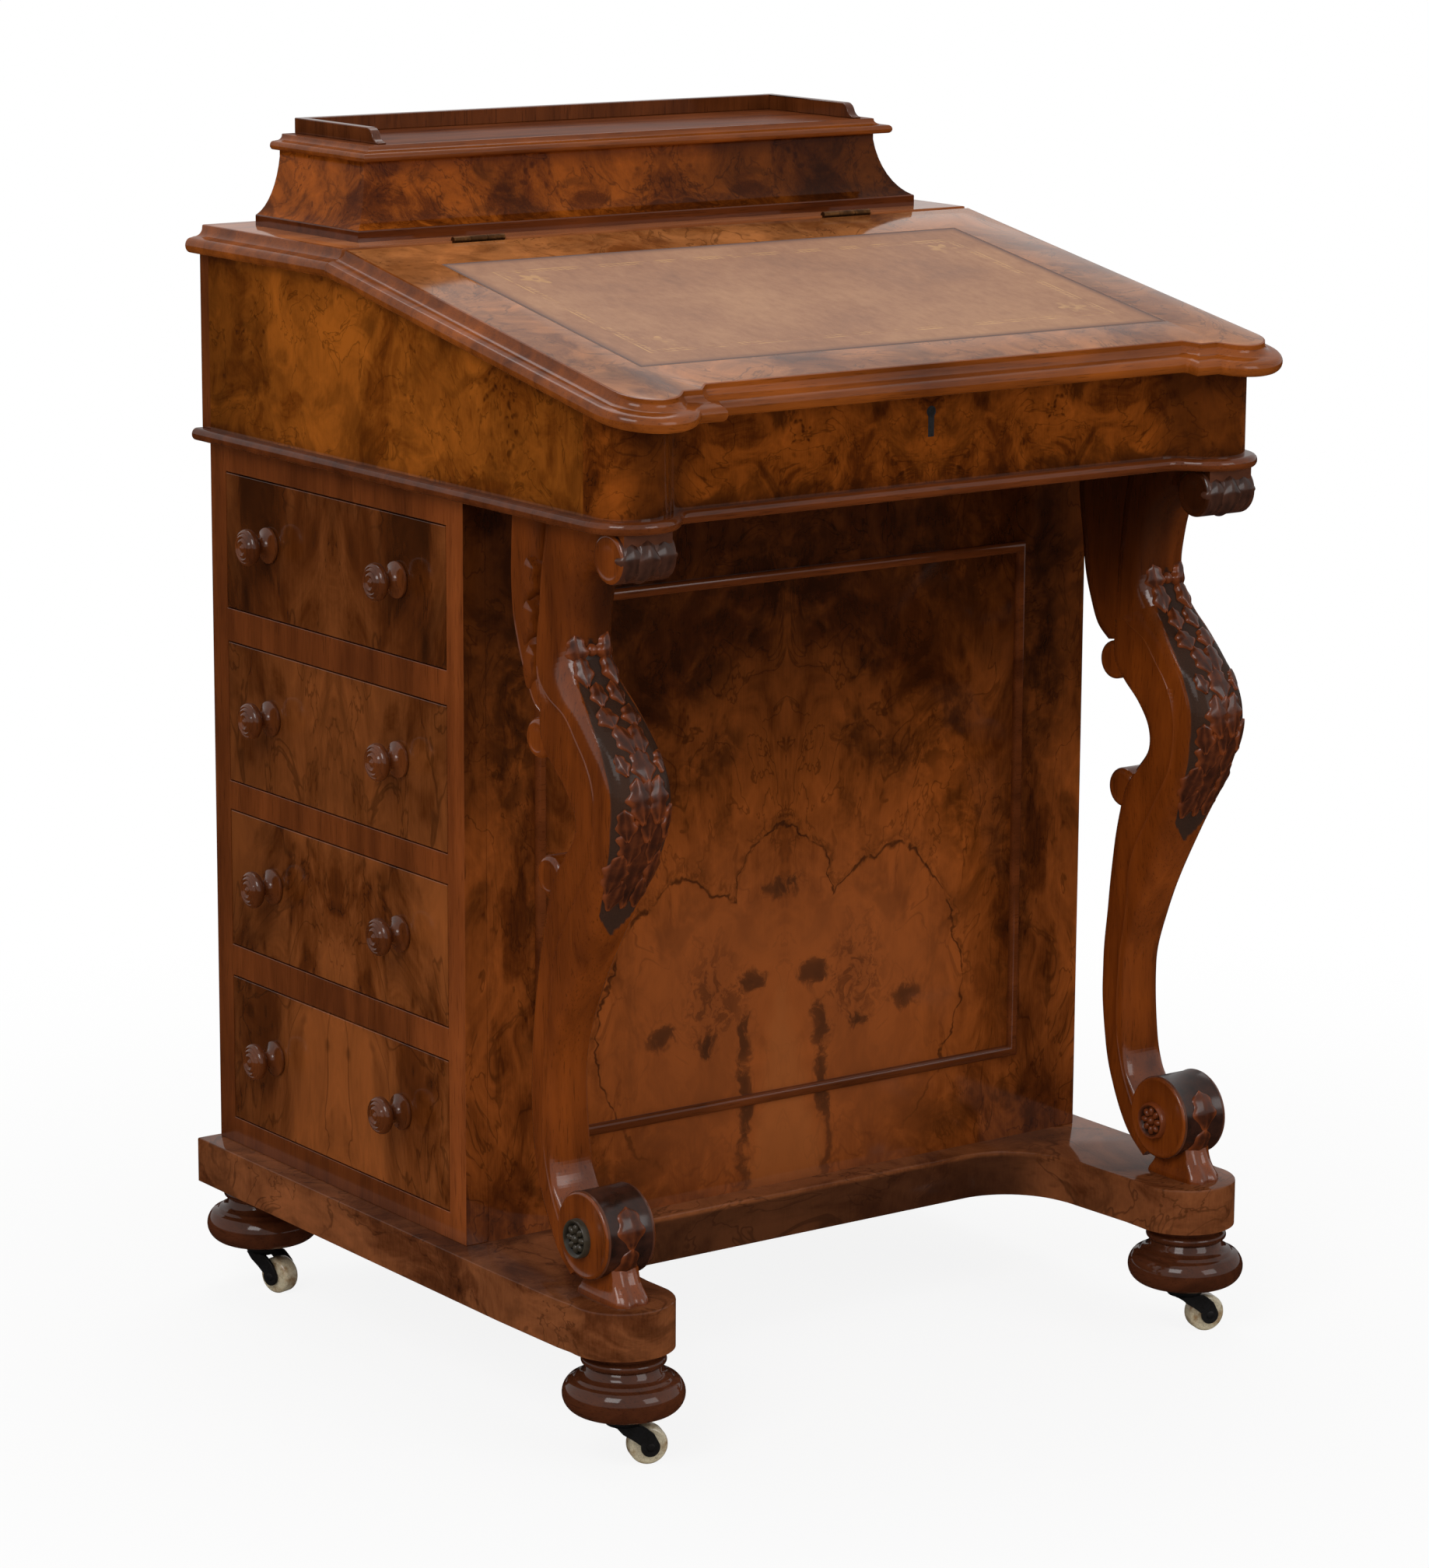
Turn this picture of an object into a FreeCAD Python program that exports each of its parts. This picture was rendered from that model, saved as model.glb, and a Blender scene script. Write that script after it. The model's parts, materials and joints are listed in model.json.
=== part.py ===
"""A Victorian davenport desk: a drawer pedestal, a sloping writing box carried on two scrolled
supports, a stationery box with a gallery on top, bun feet and castors.

Millimetres. +X is the sitter's right, +Y runs from the sitter to the back, +Z is up.
The origin is on the floor under the middle of the desk.
"""
import FreeCAD, Part
import math
import os
import re
import Sketcher

SIZES = (
    # castors and feet
    ("castor_height", 34.0, "floor to the underside of the bun feet"),
    ("wheel_radius", 13.5, "ceramic castor wheel"),
    ("wheel_width", 16.0, "castor wheel tread"),
    ("axle_radius", 2.0, "castor axle"),
    ("castor_trail", 16.0, "swivel axis to wheel axle, seen from above"),
    ("horn_radius", 13.0, "round collar of the castor horn"),
    ("horn_plate", 2.7, "thickness of that collar"),
    ("cheek_radius", 9.0, "rounded lower ends of the castor's cheeks"),
    ("fork_gap", 17.0, "clear width between the castor's cheeks"),
    ("fork_width", 22.0, "outside width over the castor's cheeks"),
    ("spindle_radius", 3.0, "castor spindle"),
    ("socket_flange_radius", 14.0, "flange of the castor socket"),
    ("socket_flange", 2.0, "thickness of that flange"),
    ("socket_radius", 6.0, "outside of the castor socket's tube"),
    ("socket_depth", 26.0, "depth of the socket's tube in the foot"),
    ("running_clearance", 0.05, "radial clearance of shafts in their holes"),
    ("gap", 0.3, "clearance between pieces that move past each other"),
    ("foot_height", 48.6, "bun foot"),
    ("foot_inset", 39.5, "a foot's centre in from the platform's side"),
    ("front_foot_margin", 37.2, "front feet's centres behind the arms' ends"),
    ("rear_foot_margin", 26.3, "rear feet's centres forward of the platform's back"),
    ("bun_radius", 41.5, "largest radius of a bun foot"),
    ("bun_curve", 16.0, "radius of the bun's rim"),
    ("foot_neck_radius", 25.5, "cove of the foot"),
    ("foot_ring_radius", 29.5, "ring over the cove"),
    # base
    ("base_side_margin", 16.5, "platform outside the pedestal's sides"),
    ("base_thick", 33.2, "platform"),
    ("base_back_margin", 5.5, "platform behind the pedestal"),
    ("base_front_margin", 20.0, "platform in front of the pedestal"),
    ("arm_reach", 194.0, "platform's arms forward of the pedestal"),
    ("arm_width", 81.3, "platform's arms"),
    ("arm_corner", 34.0, "corner radius at the arm's end"),
    ("arm_root", 42.0, "inner corner radius at the arm's root"),
    # pedestal
    ("pedestal_width", 539.6, "over the drawer fronts"),
    ("pedestal_depth", 332.8, "front to back"),
    ("front_thick", 20.0, "pedestal front panel"),
    ("back_thick", 12.0, "pedestal back panel"),
    ("side_thick", 18.0, "pedestal sides"),
    ("stile", 21.0, "width of the frame beside the drawers"),
    ("base_rail", 19.2, "rail under the lowest drawer"),
    ("drawer_four_height", 108.0, "lowest drawer opening"),
    ("lower_rail", 23.0, "rail between drawers four and three"),
    ("drawer_three_height", 101.0, "third drawer opening"),
    ("middle_rail", 21.0, "rail between drawers three and two"),
    ("drawer_two_height", 103.0, "second drawer opening"),
    ("upper_rail", 24.0, "rail between drawers two and one"),
    ("drawer_one_height", 99.0, "top drawer opening"),
    ("top_rail", 20.0, "rail over the top drawer"),
    ("front_gap", 0.8, "around each drawer front in its opening"),
    ("drawer_front_thick", 20.0, "drawer fronts"),
    ("drawer_back_room", 46.6, "free space behind the closed drawers"),
    ("drawer_side_thick", 8.0, "drawer sides and back"),
    ("drawer_bottom_thick", 5.0, "drawer bottoms"),
    ("drawer_side_drop", 16.0, "drawer side lower than its opening"),
    ("drawer_side_gap", 1.5, "drawer side to the opening's end"),
    ("runner_height", 11.0, "drawer runners"),
    ("drawer_four_proud", 4.0, "lowest drawer left a little open"),
    ("dummy_depth", 6.0, "dummy fronts let into the left side"),
    ("knob_radius", 13.3, "turned drawer knobs"),
    ("knob_reach", 24.0, "knob face to drawer front"),
    ("knob_neck", 5.4, "knob waist radius"),
    ("knob_inset", 61.0, "knob to the end of its drawer opening"),
    ("knob_lift", 4.0, "knob above the middle of its drawer"),
    ("panel_bead_margin", 61.3, "bead moulding's middle line in from the pedestal's side"),
    ("panel_bead_low", 66.2, "lower bead above the platform"),
    ("panel_bead_high", 76.0, "upper bead below the pedestal's top"),
    ("panel_bead", 8.0, "width of that bead"),
    ("panel_bead_proud", 4.4, "how far it stands out"),
    # scrolled supports
    ("support_inset", 23.3, "a support's middle in from the writing box's side"),
    ("support_wide", 44.0, "support's width at its lower volute"),
    ("support_knee", 42.0, "its width at the knee"),
    ("support_head", 46.0, "its width at the top"),
    ("support_shin", 27.0, "its narrowest width"),
    ("volute_margin", 49.0, "lower volute's axis behind the arm's end"),
    ("volute_lift", 42.2, "lower volute's axis above the platform"),
    ("volute_radius", 28.5, "lower volute"),
    ("block_width", 39.0, "block under the lower volute"),
    ("block_height", 16.2, "that block"),
    ("scroll_radius", 30.0, "upper volute"),
    ("boss_radius", 8.5, "turned boss in the lower volute's eye"),
    ("boss_proud", 4.0, "how far it stands out"),
    # writing box
    ("box_side_margin", 3.5, "writing box outside the pedestal's sides"),
    ("box_height", 125.5, "bead to the underside of the top"),
    ("box_back_margin", 4.6, "writing box behind the pedestal"),
    ("recess_reach", 159.6, "writing box's front forward of the pedestal"),
    ("lobe_radius", 27.3, "rounded corner lobes"),
    ("lobe_reach", 157.0, "their centres forward of the pedestal"),
    ("cove_radius", 24.0, "hollow beside each lobe"),
    ("box_side_thick", 12.0, "writing box sides, front and back"),
    ("bead_thick", 9.0, "bead and bottom board under the writing box"),
    ("bead_proud", 8.8, "how far the bead stands out"),
    # tops
    ("top_thick", 19.5, "level top and sloping lid"),
    ("top_side_margin", 11.7, "top outside the writing box's sides"),
    ("ogee", 15.6, "width of the moulded edge, seen from above"),
    ("level_top_depth", 189.4, "level top, front to back"),
    ("slope_fall", 0.186, "fall of the lid for each millimetre forward"),
    ("lid_front_margin", 32.9, "lid's front edge forward of the writing box's front"),
    ("lid_step", 9.5, "short step beside each lobe of the lid, forward of that edge"),
    ("lid_corner_width", 87.0, "lid's side to that step"),
    ("lid_lobe_radius", 38.0, "lid's corner lobes"),
    ("lid_lobe_margin", 20.0, "their centres forward of the writing box's lobe centres"),
    ("skiver_side_margin", 63.0, "leather's side edges in from the lid's sides"),
    ("skiver_front_margin", 53.5, "its front edge behind the lid's front edge"),
    ("skiver_back_margin", 49.5, "its rear edge forward of the lid's hinges"),
    ("skiver_thick", 0.8, "leather"),
    # stationery box
    ("stationery_side_margin", 43.5, "its foot in from the top's sides"),
    ("stationery_front_margin", 26.0, "its foot behind the level top's front edge"),
    ("stationery_back_margin", 26.6, "its back forward of the top's back edge"),
    ("plinth_height", 8.0, "strip at its foot"),
    ("stationery_height", 53.0, "level top to the stationery lid's underside"),
    ("cavetto_side", 19.5, "how far each side sweeps in"),
    ("cavetto_front", 23.0, "how far the front sweeps in"),
    ("stationery_wall", 10.0, "its walls at the neck"),
    ("partition_thick", 4.0, "partitions for paper and envelopes"),
    ("small_lid_side_margin", 8.0, "stationery lid outside the walls' neck"),
    ("small_lid_front_margin", 13.0, "stationery lid forward of the walls' neck"),
    ("small_lid_thick", 11.0, "stationery lid"),
    ("small_lid_mould", 11.0, "width of its moulding, seen from above"),
    ("gallery_side_margin", 19.4, "gallery in from the stationery lid's sides"),
    ("gallery_front_margin", 13.0, "its front ends behind the lid's front edge"),
    ("gallery_back_margin", 1.9, "its back forward of the lid's back edge"),
    ("gallery_height", 11.0, "gallery"),
    ("gallery_thick", 7.0, "gallery strips"),
    # locks and hinges
    ("lock_width", 50.0, "lock cases"),
    ("lock_drop", 34.0, "height of a lock case"),
    ("lock_thick", 9.0, "depth of a lock case"),
    ("bolt_width", 14.0, "lock bolts"),
    ("bolt_thick", 3.0, "lock bolts"),
    ("bolt_length", 14.0, "lock bolts"),
    ("bolt_throw", 6.0, "travel of a bolt"),
    ("strike_width", 34.0, "strike plates"),
    ("strike_depth", 12.0, "strike plates, front to back"),
    ("strike_thick", 1.2, "strike plates"),
    ("keyhole_radius", 2.4, "keyholes"),
    ("keyhole_drop", 16.4, "length of a keyhole's slot"),
    ("keyhole_rise", 48.0, "writing box's keyhole eye above the bead"),
    ("small_keyhole_fall", 13.0, "stationery keyhole's eye below its lid"),
    ("keyhole_depth", 5.0, "how deep the keyholes are cut"),
    ("hinge_length", 42.0, "butt hinges"),
    ("hinge_spread", 320.0, "between the middles of a lid's two hinges"),
    ("knuckle_radius", 2.4, "hinge knuckles"),
    ("hinge_proud", 0.4, "hinge axis outside the surface it is let into"),
    ("pin_radius", 1.0, "hinge pins"),
    ("leaf_thick", 1.2, "hinge leaves"),
    ("leaf_drop", 14.0, "hinge leaves, away from the pin"),
)

DERIVED = {
    "front_plane": "(lid_lobe_radius + lid_lobe_reach - rear_foot_depth - bun_radius)/2",
    "rear_foot_depth": "pedestal_depth + base_back_margin - rear_foot_margin",
    "lid_lobe_reach": "lobe_reach + lid_lobe_margin",
    "lid_recess_reach": "recess_reach + lid_front_margin",
    "base_half": "pedestal_half + base_side_margin",
    "arm_inner": "base_half - arm_width",
    "support_centre": "box_half - support_inset",
    "volute_reach": "arm_reach - volute_margin",
    "base_low": "castor_height + foot_height",
    "base_high": "base_low + base_thick",
    "opening_four": "base_high + base_rail",
    "opening_three": "opening_four + drawer_four_height + lower_rail",
    "opening_two": "opening_three + drawer_three_height + middle_rail",
    "opening_one": "opening_two + drawer_two_height + upper_rail",
    "pedestal_high": "opening_one + drawer_one_height + top_rail",
    "box_low": "pedestal_high + bead_thick",
    "box_high": "box_low + box_height",
    "top_high": "box_high + top_thick",
    "pedestal_half": "pedestal_width/2",
    "pedestal_back": "front_plane + pedestal_depth",
    "box_half": "pedestal_half + box_side_margin",
    "top_half": "box_half + top_side_margin",
    "box_back": "pedestal_back + box_back_margin",
    "cavity_front": "front_plane - recess_reach + box_side_thick",
    "hinge_line": "box_back - level_top_depth",
    "lobe_centre": "box_half - lobe_radius",
    "cove_run": "sqrt((lobe_radius + cove_radius)^2 - (cove_radius + recess_reach - lobe_reach)^2)",
    "small_lid_low": "top_high + stationery_height",
    "small_lid_high": "small_lid_low + small_lid_thick",
    "stationery_half": "top_half - stationery_side_margin",
    "stationery_front": "hinge_line + stationery_front_margin",
    "stationery_rear": "box_back - stationery_back_margin",
    "neck_half": "stationery_half - cavetto_side",
    "neck_front": "stationery_front + cavetto_front",
    "wall_front": "neck_front + stationery_wall*cavetto_front/cavetto_side",
    "wall_half": "neck_half - stationery_wall",
    "small_lid_half": "neck_half + small_lid_side_margin",
    "small_lid_front": "neck_front - small_lid_front_margin",
    "opening_front": "front_plane + stile",
    "opening_back": "pedestal_back - stile",
}

DRAWERS = ("one", "two", "three", "four")
CASTORS = (
    ("front_left", -1, "front_plane - arm_reach + front_foot_margin", -20.0),
    ("front_right", 1, "front_plane - arm_reach + front_foot_margin", -15.0),
    ("rear_left", -1, "front_plane + rear_foot_depth", -75.0),
    ("rear_right", 1, "front_plane + rear_foot_depth", -40.0),
)
SIDES = ((-1, "left"), (1, "right"))
NOSE_SHARE = 0.28  # height of a moulded edge's nose, as a share of its thickness
HOLLOW_STEPS = 8  # bands in the stationery box's hollow walls
HOLLOW_ROUND = 0.65  # that hollow between a straight slant at 0 and a quarter circle at 1
NECK_HEIGHT = 5.0  # upright stretch over the hollow

doc = FreeCAD.newDocument("davenport_desk")
sheet = doc.addObject("Spreadsheet::Sheet", "sizes")
for row, (name, size, note) in enumerate(SIZES, 1):
    sheet.set("A%d" % row, name)
    sheet.set("B%d" % row, str(size))
    sheet.set("C%d" % row, note)
    sheet.setAlias("B%d" % row, name)
doc.recompute()
sub_parts = []


# ---------------------------------------------------------------- sizes and naming

def bound(text):
    """The expression with each named size pointed at its cell of the sheet."""
    def swap(word):
        word = word.group()
        if word in DERIVED:
            return "(" + bound(DERIVED[word]) + ")"
        return word if word == "sqrt" else "sizes." + word
    return re.sub(r"[a-z_]{3,}", swap, str(text))


def value(text):
    """The expression's present value in millimetres."""
    return float(sheet.evalExpression(bound(text)))


def sub_part(label, item):
    """Names the finished piece and puts it on the list that is written out."""
    item.Label = label
    sub_parts.append(item)
    return item


def put(item, x="0", y="0", z="0", turn=None):
    """Places an object; its position stays bound to the sheet."""
    item.Placement = FreeCAD.Placement(FreeCAD.Vector(), turn or FreeCAD.Rotation())
    for axis, place in zip("xyz", (x, y, z)):
        item.setExpression("Placement.Base." + axis, bound(place))
    return item


def about(axis, degrees):
    return FreeCAD.Rotation(FreeCAD.Vector(*axis), degrees)


# ---------------------------------------------------------------- building blocks

def board(low, high):
    """A squared board between two corners."""
    box = doc.addObject("Part::Box", "board")
    for side, start, end in zip(("Length", "Width", "Height"), low, high):
        box.setExpression(side, bound("(%s) - (%s)" % (end, start)))
    return put(box, *low)


def rod(radius, length, x="0", y="0", z="0", turn=None):
    cylinder = doc.addObject("Part::Cylinder", "rod")
    cylinder.setExpression("Radius", bound(radius))
    cylinder.setExpression("Height", bound(length))
    return put(cylinder, x, y, z, turn)


def joined(items):
    fuse = doc.addObject("Part::MultiFuse", "joined")
    fuse.Shapes = list(items)
    return fuse


def group(items):
    compound = doc.addObject("Part::Compound", "group")
    compound.Links = list(items)
    return compound


def cut_from(base, tools):
    cut = doc.addObject("Part::Cut", "cut")
    cut.Base = base
    cut.Tool = tools[0] if len(tools) == 1 else joined(tools)
    return cut


def new_body(name):
    return doc.addObject("PartDesign::Body", name)


def outline(body, role, path):
    """A closed sketch on one of the body's own origin planes.

    Each path item is (across, up, bend): a corner, and the signed radius of the arc from it
    to the next corner; 0 draws a straight line, a positive bend turns left.
    """
    sketch = body.newObject("Sketcher::SketchObject", "outline")
    plane = [item for item in body.Origin.OriginFeatures if item.Role == role][0]
    sketch.AttachmentSupport = [(plane, "")]
    sketch.MapMode = "FlatFace"
    corners = [FreeCAD.Vector(value(across), value(up), 0) for across, up, bend in path]
    starts, ends = [], []
    for index, (across, up, bend) in enumerate(path):
        first, last = corners[index], corners[(index + 1) % len(path)]
        radius = value(bend)
        if radius == 0:
            sketch.addGeometry(Part.LineSegment(first, last), False)
            starts.append(1)
            ends.append(2)
            continue
        half = (last - first) / 2
        inward = FreeCAD.Vector(-half.y, half.x, 0).normalize()
        reach = math.sqrt(max(radius ** 2 - half.Length ** 2, 0))
        centre = first + half + inward * math.copysign(reach, radius)
        circle = Part.Circle(centre, FreeCAD.Vector(0, 0, 1), abs(radius))
        angles = [math.atan2(end.y - centre.y, end.x - centre.x) for end in (first, last)]
        if radius < 0:
            angles.reverse()
        sketch.addGeometry(Part.ArcOfCircle(circle, *angles), False)
        starts.append(1 if radius > 0 else 2)
        ends.append(3 - starts[-1])
    for index, (across, up, bend) in enumerate(path):
        after = (index + 1) % len(path)
        sketch.addConstraint(
            Sketcher.Constraint("Coincident", index, ends[index], after, starts[after]))
        for kind, size, now in (
                ("DistanceX", across, corners[index].x), ("DistanceY", up, corners[index].y)):
            number = sketch.addConstraint(
                Sketcher.Constraint(kind, -1, 1, index, starts[index], now))
            sketch.setExpression("Constraints[%d]" % number, bound(size))
        if value(bend) != 0:
            number = sketch.addConstraint(
                Sketcher.Constraint("Radius", index, abs(value(bend))))
            sign = "" if value(bend) > 0 else "0 - "
            sketch.setExpression("Constraints[%d]" % number, bound(sign + "(%s)" % bend))
    return sketch


def mirrored(path):
    """The path's right half followed by its mirror image in the desk's middle plane."""
    bends = [bend for across, up, bend in path]
    back = [("0 - (%s)" % across, up, bends[index - 1] if index else 0)
            for index, (across, up, bend) in reversed(list(enumerate(path)))]
    return list(path[:-1]) + [(path[-1][0], path[-1][1], 0)] + back


def padded(body, role, path, length, both_ways=False):
    pad = body.newObject("PartDesign::Pad", "pad")
    pad.Profile = outline(body, role, path)
    pad.SideType = "Symmetric" if both_ways else "One side"
    pad.setExpression("Length", bound(length))
    doc.recompute()
    return body


def pocketed(body, role, path, length):
    """A cut through the body, the same distance to both sides of the sketch."""
    before = body.Shape.Volume
    pocket = body.newObject("PartDesign::Pocket", "pocket")
    pocket.Profile = outline(body, role, path)
    pocket.SideType = "Symmetric"
    pocket.setExpression("Length", bound(length))
    doc.recompute()
    if not body.Shape.Volume < before:
        raise RuntimeError(body.Label + ": a pocket cuts nothing")
    return body


def turned(name, path):
    """A turned piece: its half section stands on the XZ plane and turns about Z."""
    body = new_body(name)
    turn = body.newObject("PartDesign::Revolution", "turning")
    sketch = outline(body, "XZ_Plane", path)
    turn.Profile = sketch
    turn.ReferenceAxis = (sketch, ["V_Axis"])
    turn.Angle = 360
    doc.recompute()
    return body


def rounded(body, radius, chosen):
    """Fillets the edges of the body that the test picks."""
    feature = body.Tip
    names = ["Edge%d" % number for number, edge in enumerate(feature.Shape.Edges, 1)
             if chosen(edge.BoundBox)]
    fillet = body.newObject("PartDesign::Fillet", "rounding")
    fillet.Base = (feature, names)
    fillet.setExpression("Radius", bound(radius))
    doc.recompute()
    return body


def shaped(shape, name="shaped"):
    feature = doc.addObject("Part::Feature", name)
    feature.Shape = shape
    return feature


def level(box, height):
    """True for an edge that lies flat at the height."""
    return abs(box.ZMin - height) < 0.01 and abs(box.ZMax - height) < 0.01


# ---------------------------------------------------------------- castors and feet

def feet_places():
    return [(name, "%d*(base_half - foot_inset)" % side, depth, heading)
            for name, side, depth, heading in CASTORS]


def bun_feet():
    section = (
        ("socket_radius", "0", 0),
        ("socket_flange_radius", "0", 0),
        ("bun_radius - bun_curve", "0.5", "bun_curve"),
        ("bun_radius", "0.5 + bun_curve", "bun_curve"),
        ("bun_radius - bun_curve*0.3", "0.5 + bun_curve*1.714", 0),
        ("foot_neck_radius + 5.5", "0.5 + bun_curve*1.714", 0),
        ("foot_neck_radius + 5.5", "3 + bun_curve*1.714", "0 - 5.5"),
        ("foot_neck_radius", "foot_height - 13.1", "0 - 3.5"),
        ("foot_ring_radius - 1", "foot_height - 10.6", 0),
        ("foot_ring_radius - 1", "foot_height - 10.4", "3"),
        ("foot_ring_radius - 1", "foot_height - 4.8", 0),
        ("foot_ring_radius - 1", "foot_height", 0),
        ("0", "foot_height", 0),
        ("0", "socket_depth", 0),
        ("socket_radius", "socket_depth", 0),
    )
    feet = []
    for name, x, y, heading in feet_places():
        feet.append(put(turned("foot", section), x, y, "castor_height"))
    return sub_part("bun_feet", group(feet))


def castor_sockets():
    bore = "spindle_radius + running_clearance"
    section = (
        (bore, "0 - socket_flange", 0),
        ("socket_flange_radius", "0 - socket_flange", 0),
        ("socket_flange_radius", "0", 0),
        ("socket_radius", "0", 0),
        ("socket_radius", "socket_depth", 0),
        ("0", "socket_depth", 0),
        ("0", "socket_depth - 2", 0),
        (bore, "socket_depth - 2", 0),
    )
    sockets = []
    for name, x, y, heading in feet_places():
        sockets.append(put(turned("socket", section), x, y, "castor_height"))
    return sub_part("castor_sockets", group(sockets))


def castor(name, x, y, heading):
    """A swivelling horn with its axle pin, and the wheel that turns on the pin."""
    plate_high = "castor_height - socket_flange - gap"
    cheeks = padded(new_body("cheeks"), "XZ_Plane", (
        ("0 - horn_radius*0.6", plate_high + " - horn_plate", 0),
        ("castor_trail - cheek_radius", "wheel_radius", "cheek_radius"),
        ("castor_trail", "wheel_radius - cheek_radius", "cheek_radius"),
        ("castor_trail + cheek_radius", "wheel_radius", "2*cheek_radius"),
        ("castor_trail + cheek_radius*0.55", "wheel_radius + cheek_radius*0.9", 0),
        ("horn_radius*0.9", plate_high + " - horn_plate", 0),
        ("horn_radius*0.8", plate_high + " - horn_plate/2", 0),
        ("0 - horn_radius*0.5", plate_high + " - horn_plate/2", 0),
    ), "fork_width", both_ways=True)
    plate = rod("horn_radius", "horn_plate", z=plate_high + " - horn_plate")
    spindle = rod("spindle_radius", "socket_depth - 1", z=plate_high)
    slot = board(
        ("0 - 2*horn_radius", "0 - fork_gap/2", "0"),
        ("castor_trail*3", "fork_gap/2", plate_high + " - horn_plate"))
    across = about((1, 0, 0), 90)
    hole = rod("axle_radius", "fork_width*2", "castor_trail", "fork_width", "wheel_radius", across)
    horn = cut_from(joined((cheeks, plate, spindle)), (slot, hole))
    pin = rod(
        "axle_radius", "fork_width + 1", "castor_trail", "fork_width/2 + 0.5", "wheel_radius", across)
    put(sub_part("castor_horn_" + name, group((horn, pin))), x, y, turn=about((0, 0, 1), heading))

    bore = "axle_radius + running_clearance"
    wheel = turned("wheel", (
        (bore, "0 - wheel_width/2", 0),
        ("axle_radius + 3", "0 - wheel_width/2", 0),
        ("wheel_radius - 5", "1 - wheel_width/2", 0),
        ("wheel_radius - 2.5", "1 - wheel_width/2", "3.6"),
        ("wheel_radius", "0 - wheel_width/2 + 4.5", 0),
        ("wheel_radius", "wheel_width/2 - 4.5", "3.6"),
        ("wheel_radius - 2.5", "wheel_width/2 - 1", 0),
        ("wheel_radius - 5", "wheel_width/2 - 1", 0),
        ("axle_radius + 3", "wheel_width/2", 0),
        (bore, "wheel_width/2", 0),
    ))
    trail = (math.cos(math.radians(heading)), math.sin(math.radians(heading)))
    put(sub_part("castor_wheel_" + name, wheel),
        "%s + castor_trail*%.7f" % (x, trail[0]), "%s + castor_trail*%.7f" % (y, trail[1]),
        "wheel_radius", about((0, 0, 1), heading) * across)


# ---------------------------------------------------------------- base and scrolled supports

def base_platform():
    front = "front_plane - arm_reach"
    plan = mirrored((
        ("base_half", "pedestal_back + base_back_margin", 0),
        ("base_half", front + " + arm_corner", "0 - arm_corner"),
        ("base_half - arm_corner", front, 0),
        ("arm_inner + arm_corner", front, "0 - arm_corner"),
        ("arm_inner", front + " + arm_corner", 0),
        ("arm_inner", "front_plane - base_front_margin - arm_root", "arm_root"),
        ("arm_inner - arm_root", "front_plane - base_front_margin", 0),
    ))
    body = padded(new_body("platform"), "XY_Plane", plan, "base_thick")
    thick = value("base_thick")
    rounded(body, "1.5", lambda box: level(box, thick))
    return sub_part("base_platform", put(body, z="base_low"))


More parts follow.
